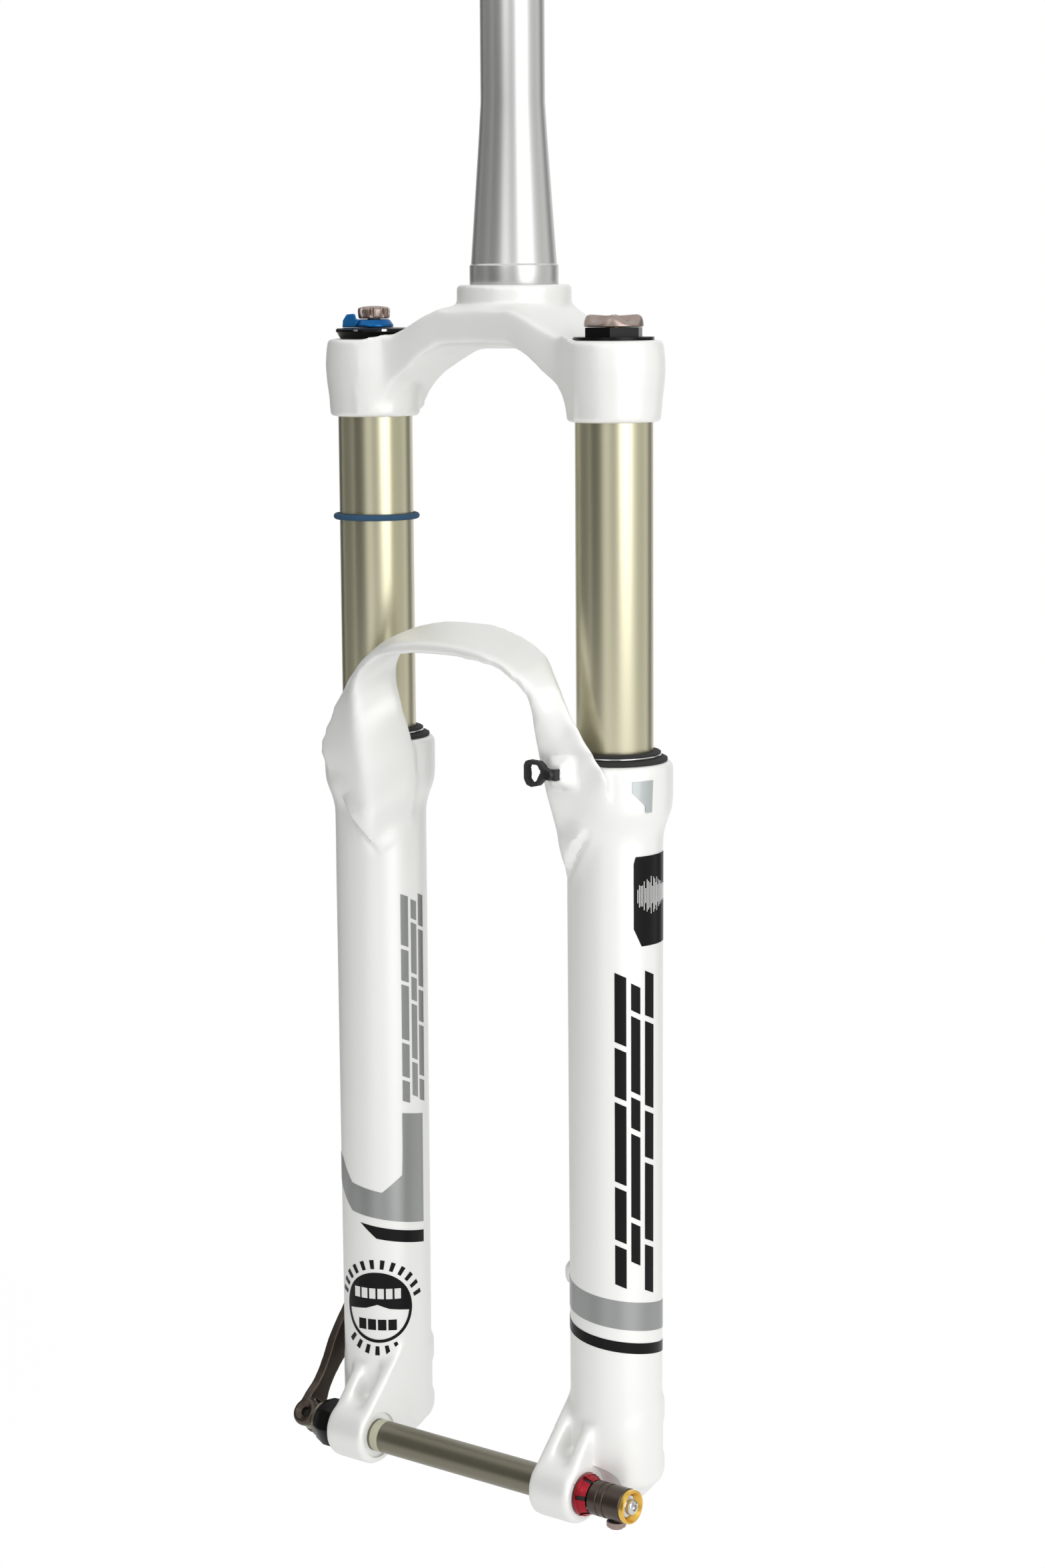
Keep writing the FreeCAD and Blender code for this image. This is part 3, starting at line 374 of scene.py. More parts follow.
class Sheen:
    """Builds, once each, the node groups that several finishes share."""

    _made: dict[str, bpy.types.NodeTree] = {}

    @classmethod
    def grain(cls) -> bpy.types.NodeTree:
        """Fine surface grain: a height, and a mask of its brighter grains.

        Returns:
            The shared group.
        """
        if "grain" not in cls._made:
            tree = new_group("fine_grain", {"Size": 0.3, "Contrast": 1.0}, ("Height", "Mask"))
            nodes, link = tree.nodes, tree.links.new
            ratio = nodes.new("ShaderNodeMath")
            ratio.operation = "DIVIDE"
            ratio.inputs[0].default_value = 1.0 / MM
            noise = nodes.new("ShaderNodeTexNoise")
            noise.inputs["Detail"].default_value = 2.0
            cells = nodes.new("ShaderNodeTexVoronoi")
            ramp = nodes.new("ShaderNodeMapRange")
            ramp.inputs["From Min"].default_value = 0.2
            ramp.inputs["From Max"].default_value = 0.8
            power = nodes.new("ShaderNodeMath")
            power.operation = "MULTIPLY"
            link(nodes["in"].outputs["Size"], ratio.inputs[1])
            for texture in (noise, cells):
                link(nodes["in"].outputs["Place"], texture.inputs["Vector"])
                link(ratio.outputs[0], texture.inputs["Scale"])
            link(noise.outputs["Fac"], power.inputs[0])
            link(nodes["in"].outputs["Contrast"], power.inputs[1])
            link(cells.outputs["Distance"], ramp.inputs["Value"])
            link(power.outputs[0], nodes["out"].inputs["Height"])
            link(ramp.outputs["Result"], nodes["out"].inputs["Mask"])
            cls._made["grain"] = tree
        return cls._made["grain"]

    @classmethod
    def patina(cls) -> bpy.types.NodeTree:
        """Slow change of shade and gloss over a surface, from handling and dust.

        Returns:
            The shared group.
        """
        if "patina" not in cls._made:
            tree = new_group("patina", {"Size": 12.0, "Shade": 0.05, "Gloss": 0.3, "Spread": 0.05},
                             ("Shade", "Roughness"))
            nodes, link = tree.nodes, tree.links.new
            ratio = nodes.new("ShaderNodeMath")
            ratio.operation = "DIVIDE"
            ratio.inputs[0].default_value = 1.0 / MM
            noise = nodes.new("ShaderNodeTexNoise")
            noise.inputs["Detail"].default_value = 4.0
            centred = nodes.new("ShaderNodeMath")
            centred.operation = "SUBTRACT"
            centred.inputs[1].default_value = 0.5
            shade = nodes.new("ShaderNodeMath")
            shade.operation = "MULTIPLY_ADD"
            shade.inputs[2].default_value = 1.0
            gloss = nodes.new("ShaderNodeMath")
            gloss.operation = "MULTIPLY_ADD"
            link(nodes["in"].outputs["Size"], ratio.inputs[1])
            link(ratio.outputs[0], noise.inputs["Scale"])
            link(nodes["in"].outputs["Place"], noise.inputs["Vector"])
            link(noise.outputs["Fac"], centred.inputs[0])
            link(centred.outputs[0], shade.inputs[0])
            link(nodes["in"].outputs["Shade"], shade.inputs[1])
            link(centred.outputs[0], gloss.inputs[0])
            link(nodes["in"].outputs["Spread"], gloss.inputs[1])
            link(nodes["in"].outputs["Gloss"], gloss.inputs[2])
            link(shade.outputs[0], nodes["out"].inputs["Shade"])
            link(gloss.outputs[0], nodes["out"].inputs["Roughness"])
            cls._made["patina"] = tree
        return cls._made["patina"]

    @classmethod
    def edges(cls) -> bpy.types.NodeTree:
        """Mask of outer edges, broken up as rubbing leaves them.

        Returns:
            The shared group.
        """
        if "edges" not in cls._made:
            tree = new_group("edge_wear", {"Start": 0.53, "End": 0.62}, ("Mask",))
            nodes, link = tree.nodes, tree.links.new
            geometry = nodes.new("ShaderNodeNewGeometry")
            noise = nodes.new("ShaderNodeTexNoise")
            noise.inputs["Scale"].default_value = 0.4 / MM
            ramp = nodes.new("ShaderNodeMapRange")
            broken = nodes.new("ShaderNodeMath")
            broken.operation = "MULTIPLY"
            link(nodes["in"].outputs["Place"], noise.inputs["Vector"])
            link(geometry.outputs["Pointiness"], ramp.inputs["Value"])
            link(nodes["in"].outputs["Start"], ramp.inputs["From Min"])
            link(nodes["in"].outputs["End"], ramp.inputs["From Max"])
            link(ramp.outputs["Result"], broken.inputs[0])
            link(noise.outputs["Fac"], broken.inputs[1])
            link(broken.outputs[0], nodes["out"].inputs["Mask"])
            cls._made["edges"] = tree
        return cls._made["edges"]


@dataclass(frozen=True)
class Finish:
    """A surface finish: colour, gloss, grain and wear.

    Lengths are in millimetres. sparkle mixes the colour towards white at the brighter
    grains, and wear does the same along outer edges.
    """

    name: str
    colour: Point
    metallic: float = 0.0
    roughness: float = 0.4
    spread: float = 0.05
    shade: float = 0.04
    patch: float = 14.0
    grain: float = 0.35
    depth: float = 0.004
    sparkle: float = 0.0
    wear: float = 0.0
    coat: float = 0.0
    coat_roughness: float = 0.05
    specular: float = 0.5
    stretch: Point = (1.0, 1.0, 1.0)

    def material(self) -> bpy.types.Material:
        """Return this finish's material, building it the first time."""
        found = bpy.data.materials.get(self.name)
        return found if found else self._build()

    def _build(self) -> bpy.types.Material:
        """Build the material out of the shared groups.

        Returns:
            The new material.
        """
        material = bpy.data.materials.new(self.name)
        material.use_nodes = True
        nodes, link = material.node_tree.nodes, material.node_tree.links.new
        shader = nodes["Principled BSDF"]
        place = nodes.new("ShaderNodeTexCoord")
        mapping = nodes.new("ShaderNodeMapping")
        mapping.inputs["Scale"].default_value = self.stretch
        link(place.outputs["Object"], mapping.inputs["Vector"])
        patina = self._group(nodes, Sheen.patina(), Size=self.patch, Shade=self.shade, Gloss=self.roughness,
                             Spread=self.spread)
        grain = self._group(nodes, Sheen.grain(), Size=self.grain, Contrast=1.0)
        for group in (patina, grain):
            link(mapping.outputs["Vector"], group.inputs["Place"])
        tint = nodes.new("ShaderNodeVectorMath")
        tint.operation = "SCALE"
        tint.inputs[0].default_value = self.colour
        link(patina.outputs["Shade"], tint.inputs["Scale"])
        colour = tint.outputs["Vector"]
        if self.sparkle:
            colour = self._lighter(material, colour, grain.outputs["Mask"], self.sparkle)
        if self.wear:
            edges = self._group(nodes, Sheen.edges())
            link(place.outputs["Object"], edges.inputs["Place"])
            colour = self._lighter(material, colour, edges.outputs["Mask"], self.wear)
        link(colour, shader.inputs["Base Color"])
        link(patina.outputs["Roughness"], shader.inputs["Roughness"])
        bump = nodes.new("ShaderNodeBump")
        bump.inputs["Distance"].default_value = self.depth * MM
        link(grain.outputs["Height"], bump.inputs["Height"])
        link(bump.outputs["Normal"], shader.inputs["Normal"])
        shader.inputs["Metallic"].default_value = self.metallic
        shader.inputs["Specular IOR Level"].default_value = self.specular
        shader.inputs["Coat Weight"].default_value = self.coat
        shader.inputs["Coat Roughness"].default_value = self.coat_roughness
        return material

    @staticmethod
    def _group(nodes: bpy.types.Nodes, tree: bpy.types.NodeTree, **values: float) -> bpy.types.Node:
        """Place a group with its own input values.

        Args:
            nodes: Nodes of the material.
            tree: Group to place.
            values: Value of each named input.

        Returns:
            The group node.
        """
        node = nodes.new("ShaderNodeGroup")
        node.node_tree = tree
        for label, number in values.items():
            node.inputs[label].default_value = number
        return node

    @staticmethod
    def _lighter(material: bpy.types.Material, colour: bpy.types.NodeSocket, mask: bpy.types.NodeSocket,
                 amount: float) -> bpy.types.NodeSocket:
        """Mix a colour towards a pale metal grey where a mask is high.

        Args:
            material: Material to work in.
            colour: Socket that gives the colour.
            mask: Socket that gives the mask.
            amount: Share of the grey where the mask is 1.

        Returns:
            The socket that gives the mixed colour.
        """
        nodes, link = material.node_tree.nodes, material.node_tree.links.new
        scaled = nodes.new("ShaderNodeMath")
        scaled.operation = "MULTIPLY"
        scaled.inputs[1].default_value = amount
        scaled.use_clamp = True
        mix = nodes.new("ShaderNodeMix")
        mix.data_type = "RGBA"
        mix.inputs["B"].default_value = (0.85, 0.85, 0.83, 1.0)
        link(mask, scaled.inputs[0])
        link(scaled.outputs[0], mix.inputs["Factor"])
        link(colour, mix.inputs["A"])
        return mix.outputs["Result"]


WHITE_PAINT = Finish("white_paint", (0.83, 0.835, 0.80), roughness=0.32, shade=0.02, patch=40.0, grain=0.9,
                     depth=0.006, coat=0.8, coat_roughness=0.06)
BLASTED = Finish("blasted_aluminium", (0.50, 0.50, 0.495), metallic=1.0, roughness=0.42, spread=0.12,
                 shade=0.16, patch=2.0, grain=0.5, depth=0.20, sparkle=0.5)
CHAMPAGNE = Finish("champagne_anodised", (0.63, 0.60, 0.435), metallic=1.0, roughness=0.33, shade=0.03,
                   patch=30.0, grain=0.3, depth=0.004, stretch=(1.0, 1.0, 0.05))
OLIVE = Finish("olive_hardcoat", (0.115, 0.112, 0.078), metallic=1.0, roughness=0.30, shade=0.06, grain=0.3,
               depth=0.008, stretch=(0.1, 1.0, 1.0))
BLACK_ANODISED = Finish("black_anodised", (0.010, 0.010, 0.010), metallic=0.3, roughness=0.24, wear=0.14,
                        specular=0.3, grain=0.25, depth=0.004)
BLUE_ANODISED = Finish("blue_anodised", (0.012, 0.095, 0.33), metallic=0.85, roughness=0.30, grain=0.25,
                       depth=0.006, wear=0.10)
PEWTER = Finish("pewter_anodised", (0.33, 0.275, 0.25), metallic=1.0, roughness=0.33, grain=0.22,
                depth=0.006, wear=0.20)
BROWN_ANODISED = Finish("brown_anodised", (0.115, 0.085, 0.072), metallic=1.0, roughness=0.27, grain=0.22,
                        depth=0.005, wear=0.15)
RED_ANODISED = Finish("red_anodised", (0.30, 0.028, 0.035), metallic=1.0, roughness=0.26, grain=0.22,
                      depth=0.004, wear=0.10)
GOLD_ANODISED = Finish("gold_anodised", (0.78, 0.40, 0.03), metallic=1.0, roughness=0.20, grain=0.2,
                       depth=0.003, wear=0.15)
BARE_ALUMINIUM = Finish("bare_aluminium", (0.62, 0.62, 0.61), metallic=1.0, roughness=0.30, grain=0.25,
                        depth=0.006)
BRIGHT_STEEL = Finish("bright_steel", (0.60, 0.60, 0.59), metallic=1.0, roughness=0.18, grain=0.2,
                      depth=0.003)
BLACK_STEEL = Finish("black_steel", (0.03, 0.03, 0.03), metallic=0.8, roughness=0.38, grain=0.25,
                     depth=0.005, wear=0.1)
BRASS = Finish("brass", (0.70, 0.50, 0.20), metallic=1.0, roughness=0.3, grain=0.25, depth=0.004)
BRONZE_BAND = Finish("bronze_band", (0.42, 0.26, 0.13), metallic=0.6, roughness=0.45)
BLACK_RUBBER = Finish("black_rubber", (0.010, 0.010, 0.010), roughness=0.40, specular=0.25, spread=0.15,
                      shade=0.2, grain=0.3, depth=0.012)
BLUE_RUBBER = Finish("blue_rubber", (0.012, 0.075, 0.20), roughness=0.36, grain=0.25, depth=0.006)
FOAM = Finish("foam", (0.05, 0.05, 0.05), roughness=0.9, grain=0.6, depth=0.15)
BLACK_PLASTIC = Finish("black_plastic", (0.008, 0.008, 0.008), roughness=0.30, specular=0.3, spread=0.1,
                       grain=0.3, depth=0.008)
BLACK_DECAL = Finish("black_decal", (0.007, 0.007, 0.0075), roughness=0.30, specular=0.12, grain=0.9,
                     depth=0.004)
SILVER_DECAL = Finish("silver_decal", (0.36, 0.37, 0.365), metallic=1.0, roughness=0.36, shade=0.08,
                      patch=1.0, grain=0.25, depth=0.006)
GREY_DECAL = Finish("grey_decal", (0.42, 0.45, 0.45), metallic=0.3, roughness=0.35, coat=0.8,
                    coat_roughness=0.06, grain=0.4, depth=0.003)
PALE_BAND = Finish("pale_band", (0.50, 0.50, 0.37), roughness=0.4, grain=0.3, depth=0.003)
WHITE_DECAL = Finish("white_decal", (0.72, 0.72, 0.71), roughness=0.32, coat=0.8, coat_roughness=0.06,
                     grain=0.9, depth=0.003)


# ---------------------------------------------------------------------------
# Fixed upper part
# ---------------------------------------------------------------------------
@dataclass
class Steerer:
    """Tapered steerer tube, blasted, with its race seat turned smooth of burrs."""

    clamp_radius: float = 14.3
    bore: float = 11.1
    foot_bore: float = 15.5
    press_radius: float = 19.6
    seat_radius: float = 19.9
    seat_height: float = 8.4
    cone_radius: float = 19.2
    clamp_low: float = 80.0

    def build(self) -> None:
        """Build the tube between its CAD ends."""
        low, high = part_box("steerer_tube")
        foot, top = low.z / MM, high.z / MM
        mesh = lathe([
            (self.foot_bore, foot), (self.press_radius, foot), (self.press_radius, 0.0),
            (self.seat_radius, 0.0), (self.seat_radius, self.seat_height),
            (self.cone_radius, self.seat_height + 0.8), (self.clamp_radius + 1.0, self.clamp_low - 16.0),
            (self.clamp_radius, self.clamp_low), (self.clamp_radius, top), (self.bore, top),
            (self.bore, self.clamp_low), (self.foot_bore, self.seat_height),
        ], ring=True, steps=128)
        Piece("steerer", "chassis", BLASTED, ("steerer_tube",), "blasted_aluminium").place(
            soften(mesh, 0.35, 2, 12.0))


@dataclass
class Crown:
    """Crown: one smooth skin over a boss, two arms and two stanchion sockets."""

    boss_radius: float = 25.7
    flare_radius: float = 28.6
    socket_bottom: float = -59.0
    socket_top: float = -24.0
    voxel: float = 1.05
    steerer_radius: float = 19.6
    stanchion_radius: float = 17.0
    seat_radius: float = 17.9

    def build(self) -> None:
        """Run the blanks into one skin, smooth its joins and bore it."""
        blanks = [self._boss(), self._arms()]
        tools = [lathe([(0, -60), (self.steerer_radius - 1.8, -60), (self.steerer_radius - 1.8, -26),
                        (self.steerer_radius, -26), (self.steerer_radius, 5), (0, 5)], steps=128)]
        for side in Side:
            blanks.append(self._socket(side))
            seat = self.socket_top - 0.2
            tools.append(lathe([(0, -70), (self.stanchion_radius, -70), (self.stanchion_radius, seat),
                                (self.seat_radius, seat), (self.seat_radius, 10), (0, 10)],
                               steps=128, at=side.axis))
        skin = cast(blanks, self.voxel)
        relax(skin, 3)
        relax(skin, 22, [vert for vert in skin.verts if self._soft(vert.co)])
        crown = combined(skin, tools)
        Piece("crown_forging", "chassis", WHITE_PAINT, ("crown",), "white_paint", crease=50.0).place(crown)

    def _boss(self) -> bmesh.types.BMesh:
        """Boss round the steerer, flaring into the arms.

        Returns:
            A closed blank.
        """
        return lathe([
            (0, -28.0), (self.boss_radius - 1.5, -28.0), (self.flare_radius + 0.6, -21.0),
            (self.flare_radius, -16.5), (self.boss_radius + 1.1, -11.5), (self.boss_radius, -7.5),
            (self.boss_radius, -1.0), (self.boss_radius - 1.0, 0.0), (0, 0.0),
        ], steps=128)

    def _socket(self, side: Side) -> bmesh.types.BMesh:
        """Round socket for one stanchion, widest a third of the way down.

        Args:
            side: Stanchion that it holds.

        Returns:
            A closed blank.
        """
        return lathe([
            (0, self.socket_bottom), (19.4, self.socket_bottom), (20.5, self.socket_bottom + 1.2),
            (21.0, -50.0), (21.9, -43.0), (22.4, -36.0), (22.1, -31.0), (21.6, -26.5), (21.3, -25.0),
            (20.2, self.socket_top), (0, self.socket_top),
        ], steps=128, at=side.axis)

    def _arms(self) -> bmesh.types.BMesh:
        """Both arms in one loft across the boss, from socket to socket.

        Returns:
            A closed blank.
        """
        # X, front y, front top z, valley y and z, rear edge y, rear top z, bottom z in front, middle and rear
        half = [
            (63.0, -38.0, -25.0, -14.0, -26.0, 2.0, -25.0, -58.0, -58.0, -58.0),
            (57.0, -35.2, -22.8, -14.0, -25.5, 4.0, -22.5, -57.5, -57.5, -56.0),
            (52.0, -31.4, -21.9, -12.0, -24.4, 5.5, -20.4, -51.5, -48.0, -46.5),
            (46.0, -30.0, -20.6, -11.0, -22.8, 7.0, -18.4, -43.6, -41.2, -40.0),
            (38.0, -30.0, -17.2, -8.0, -17.2, 10.0, -14.4, -38.0, -35.5, -34.5),
            (30.0, -30.0, -13.4, -4.0, -12.4, 14.5, -12.2, -31.6, -30.0, -29.0),
            (20.0, -29.4, -9.8, 0.0, -7.8, 21.0, -10.0, -27.0, -28.4, -27.6),
            (0.0, -29.0, -10.4, 0.0, -8.5, 24.0, -10.5, -25.8, -28.0, -27.5),
        ]
        rings = []
        for sign, rows in ((-1, half), (1, reversed(half[:-1]))):
            for x, lip, front_z, valley_y, valley_z, rear_y, rear_z, low_front, low_mid, low_rear in rows:
                rings.append([
                    (sign * x, lip, front_z), (sign * x, (lip + valley_y) / 2, (front_z + valley_z) / 2 - 0.3),
                    (sign * x, valley_y, valley_z), (sign * x, (rear_y + valley_y) / 2, (rear_z + valley_z) / 2),
                    (sign * x, rear_y, rear_z), (sign * x, rear_y + 0.8, (rear_z + low_rear) / 2),
                    (sign * x, rear_y, low_rear), (sign * x, valley_y, low_mid), (sign * x, lip + 0.5, low_front),
                    (sign * x, lip - 0.2, (front_z + low_front) / 2),
                ])
        return loft(rings)

    def _soft(self, place: Vector) -> bool:
        """Tell whether a point lies where the arms run into the boss or a socket."""
        return place.z < -8.5 and (abs(place.x) < 50.0 or abs(place.x) < 60.0 and -54.0 < place.z < -26.5)


@dataclass
class Stanchions:
    """Two anodised stanchion tubes."""

    radius: float = 17.0
    bore: float = 14.8

    def build(self) -> None:
        """Build each tube between its CAD ends."""
        for side in Side:
            node = "stanchion_" + side.value
            low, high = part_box(node)
            bottom, top = low.z / MM, high.z / MM
            mesh = lathe([(self.bore, bottom), (self.radius - 0.8, bottom), (self.radius, bottom + 1.5),
                          (self.radius, top), (self.bore, top)], ring=True, steps=160, at=side.axis)
            Piece(node + "_tube", "chassis", CHAMPAGNE, (node,), "olive_anodised").place(mesh)


# ---------------------------------------------------------------------------
# Lower legs
# ---------------------------------------------------------------------------
@dataclass
class LowerCasting:
    """Both lower legs, the arch between them, the dropouts and the brake posts."""

    voxel: float = 1.27
    head_top: float = -207.0
    neck: float = -241.0
    neck_radius: float = 21.3
    foot_radius: float = 20.7
    foot_height: float = -525.0
    bore: float = 18.0
    seal_pocket: float = 21.5
    dropout_in: float = 50.0
    dropout_out: float = 72.5
    boss_radius: float = 14.0
    arch_foot: float = -262.0
    post_x: float = 55.0
    post_heights: tuple[float, float] = (-441.4, -515.6)
    axle_hole: float = 7.56
    axle_recess: float = 10.8
    axle_pocket: float = 13.1
    tongue_top: float = -237.0
    tongue_tip: float = -260.0
    tongue_height: float = 3.4

    def radius_at(self, height: float) -> float:
        """Return the outer radius of the slowly tapering part of a leg."""
        share = (height - self.foot_height) / (self.neck - self.foot_height)
        return self.foot_radius + (self.neck_radius - self.foot_radius) * share

    def build(self) -> None:
        """Run every blank into one skin, true up the legs and bore them."""
        blanks = [self._arch()]
        tools = []
        for side in Side:
            blanks.extend([self._leg(side), *self._foot_pads(side), *self._dropout(side)])
            tools.extend([self._leg_bore(side), *self._axle_cuts(side)])
        blanks.extend(self._brake_posts())
        skin = cast(blanks, self.voxel)
        relax(skin, 5)
        relax(skin, 9, [vert for vert in skin.verts if self._fillet(vert.co)])
        relax(skin, 16, [vert for vert in skin.verts if self._on_arch(vert.co)])
        self._true_up(skin)
        for side in Side:
            self._tongue(skin, side)
        self._guide_pad(skin)
        casting = combined(skin, tools + self._post_holes())
        Piece("lower_legs", "lowers", WHITE_PAINT, ("lower_casting",), "white_paint",
              crease=45.0).place(casting)

    def _leg(self, side: Side) -> bmesh.types.BMesh:
        """Outside of one leg, from its coned foot to the seal head.

        Args:
            side: Leg to make.

        Returns:
            A blank for the skin.
        """
        return lathe([
            (0, -548.0), (10.6, -548.0), (10.7, -547.0), (11.9, -545.0), (15.5, -541.6), (18.7, -537.6),
            (20.4, -534.6), (20.9, -532.0), (self.foot_radius, self.foot_height),
            (self.neck_radius, self.neck), (21.7, -238.5), (23.2, -233.5), (24.9, -229.5), (25.5, -227.0),
            (25.7, -222.0), (25.7, -208.4), (24.4, self.head_top), (0, self.head_top),
        ], steps=160, at=side.axis)

    def _foot_pads(self, side: Side) -> list[bmesh.types.BMesh]:
        """Raised pads behind the foot, and the slightly thicker sleeve with its slanted top.

        Args:
            side: Leg that they are on.

        Returns:
            Blanks for the skin.
        """
        axis = side.axis
        pads = [lathe([(0, low - 2.0), (18.0, low - 2.0), (20.3, low), (20.3, high), (18.0, high + 3.0),
                       (0, high + 3.0)], steps=96, at=(axis.x, axis.y + 2.7, 0))
                for low, high in ((-509.5, -499.0), (-533.5, -526.5))]
        sleeve = lathe([(0, -536), (21.1, -536), (21.1, -480), (0, -480)], steps=128, at=axis)
        cut = bmesh.ops.bisect_plane(
            sleeve, geom=sleeve.verts[:] + sleeve.edges[:] + sleeve.faces[:],
            plane_co=(axis.x, axis.y - 21.0, -513.0), plane_no=(-0.30 * side.sign, -0.32, 1.0),
            clear_outer=True)
        bmesh.ops.contextual_create(sleeve, geom=[item for item in cut["geom_cut"]
                                                  if isinstance(item, bmesh.types.BMEdge)])
        return pads + [sleeve]

    def _arch(self) -> bmesh.types.BMesh:
        """Arch: a sloping plate over the wheel that turns down into both legs.

        Returns:
            A blank with room cut for both seals.
        """
        # outer rear edge, outer front ridge, inner front edge, inner rear edge
        half = [
            ((68, -34, -263), (64.5, -37.6, -262), (61, -36, -264), (54, -18, -262)),
            ((74.5, -36.5, -243), (66, -39.5, -247), (58, -37.2, -254), (49, -18, -250)),
            ((81.5, -39.0, -226), (68.5, -42.0, -231), (55.2, -41.0, -240), (44.0, -20, -232)),
            ((85.8, -42.6, -211.5), (69.5, -44.2, -219), (53.3, -46.0, -224), (41.6, -21.8, -213.5)),
            ((78.8, -44.6, -200), (65.5, -47.3, -208.5), (52.6, -50.0, -209), (41.4, -25.6, -201.4)),
            ((72.2, -45.8, -190), (61.3, -50.0, -197.5), (52.3, -52.6, -197), (41.2, -31.2, -190)),
            ((65, -45.2, -180), (57.6, -52.2, -186), (51.6, -54.4, -186), (42.9, -31.9, -179.3)),
            ((57.5, -42.6, -170), (53.8, -54.0, -176.0), (50.0, -55.9, -177.6), (43.2, -32.2, -170.8)),
            ((48.6, -37.2, -160), (46.2, -56.6, -168.2), (43.6, -57.2, -171.4), (40.5, -32.2, -165)),
            ((38.5, -35.0, -154.8), (36.8, -58.1, -162.4), (35.2, -58.0, -166.2), (33.5, -32.8, -160.4)),
            ((26, -33.3, -150.2), (25.3, -58.9, -158.4), (24.6, -58.7, -163.4), (23.8, -33, -156.8)),
            ((13, -32.4, -148.0), (12.8, -59.0, -156.6), (12.6, -58.8, -162.4), (12.3, -33, -154.7)),
            ((0, -32.0, -147.3), (0, -59.0, -156.0), (0, -58.8, -162.0), (0, -33, -154.0)),
        ]
        rings = []
        for sign, rows in ((-1, half), (1, reversed(half[:-1]))):
            for outer, crest, lip, rear in rows:
                inner = [(rear[0] - 1.2, rear[1] - 1.6, rear[2]), (rear[0] + 2.2, rear[1] + 0.3, rear[2])]
                rings.append([(sign * x, y, z) for x, y, z in (outer, crest, lip, *inner)])
        arch = loft(rings)
        tools = [lathe([(0, self.head_top - 0.5), (24.3, self.head_top - 0.5), (24.3, -120), (0, -120)],
                       steps=128, at=side.axis) for side in Side]
        return combined(arch, tools)

    def _dropout(self, side: Side) -> list[bmesh.types.BMesh]:
        """Axle boss, carried from the leg by two ribs with a scoop between them.

        Args:
            side: Leg that it is on.

        Returns:
            Blanks for the skin.
        """
        hub = middle("axle")
        leg = side.axis
        x_in, x_out = self.dropout_in * side.sign, self.dropout_out * side.sign
        boss = lathe([(0, x_in), (self.boss_radius - 0.8, x_in), (self.boss_radius, x_in + side.sign * 0.8),
                      (self.boss_radius, x_out - side.sign * 1.5), (self.boss_radius - 1.5, x_out), (0, x_out)],
                     steps=128, at=(0, hub.y, hub.z), axis=Axis.PLUS_X)
        parts = [boss]
        front, low = hub.y - self.boss_radius, hub.z
        # Inner and outer X, Y and Z where the front edge meets the leg, and the setback of that edge.
        # The last plate is the floor of the scoop.
        ribs = ((50.0, 56.5, -31.0, -500.0, 0.0), (65.6, 71.8, -37.2, -505.0, 1.0),
                (54.0, 70.0, -34.0, -519.5, 7.0))
        for near, far, meet, start, depth in ribs:
            outline = [(front + 0.5 + depth, low), (front + 1.8 + depth, low + 6.5), (meet, start),
                       (leg.y - 6.0, start + 9.0), (leg.y - 6.0, -546.0), (leg.y - 14.0, -545.6),
                       (hub.y + 5.0, low - 13.0), (hub.y - 6.0, low - 12.4)]
            rib = plate(outline, far - near)
            upright = Matrix.Rotation(math.radians(90), 4, "Z")
            parts.append(moved(rib, Matrix.Translation((side.sign * (near + far) / 2, 0, 0)) @ upright))
        return parts

    def _axle_cuts(self, side: Side) -> list[bmesh.types.BMesh]:
        """Axle hole, the shallow inner recess, and room outside for the collar or expander.

        Args:
            side: Leg that they go in.

        Returns:
            Tools to cut with.
        """
        hub = middle("axle")
        inner, recess, outer, clear = ((reach * side.sign) for reach in (
            self.dropout_in - 4.0, self.dropout_in + 1.2, self.dropout_out - 0.1, 96.0))
        tools = [lathe([(0, inner), (self.axle_recess, inner), (self.axle_recess, recess),
                        (self.axle_hole, recess), (self.axle_hole, outer), (self.axle_pocket, outer),
                        (self.axle_pocket, clear), (0, clear)],
                       steps=96, at=(0, hub.y, hub.z), axis=Axis.PLUS_X)]
        if side is Side.AIR:
            tools.append(lathe([(0, 71.3), (9.9, 71.3), (9.9, 80.0), (0, 80.0)], steps=96,
                               at=(0, hub.y, hub.z), axis=Axis.PLUS_X))
        return tools

    def _brake_posts(self) -> list[bmesh.types.BMesh]:
        """Two posts for a disc brake, with a web up the back of the leg.

        Returns:
            Blanks for the skin.
        """
        parts = []
        for height in self.post_heights:
            parts.append(lathe([(0, -12.0), (7.6, -12.0), (6.6, 0.0), (6.6, 25.4), (6.0, 26.0), (0, 26.0)],
                               steps=64, at=(self.post_x, -17.0, height), axis=Axis.MINUS_Y))
            post = parts[-1]
            bmesh.ops.scale(post, vec=(1, -1, 1), space=Matrix.Translation((0, 17, 0)), verts=post.verts)
            bmesh.ops.recalc_face_normals(post, faces=post.faces)
        upper, lower = self.post_heights
        web = plate([(-12, lower), (6, lower), (3, (upper + lower) / 2), (6, upper), (-12, upper + 16.4)], 6.4)
        turn = Matrix.Translation((self.post_x, 0, 0)) @ Matrix.Rotation(math.radians(90), 4, "Z")
        return parts + [moved(web, turn)]

    def _post_holes(self) -> list[bmesh.types.BMesh]:
        """Tapped holes of the brake posts."""
        return [lathe([(0, -13.0), (2.5, -13.0), (2.5, 4.0), (0, 4.0)], steps=32,
                      at=(self.post_x, 9.0, height), axis=Axis.MINUS_Y) for height in self.post_heights]

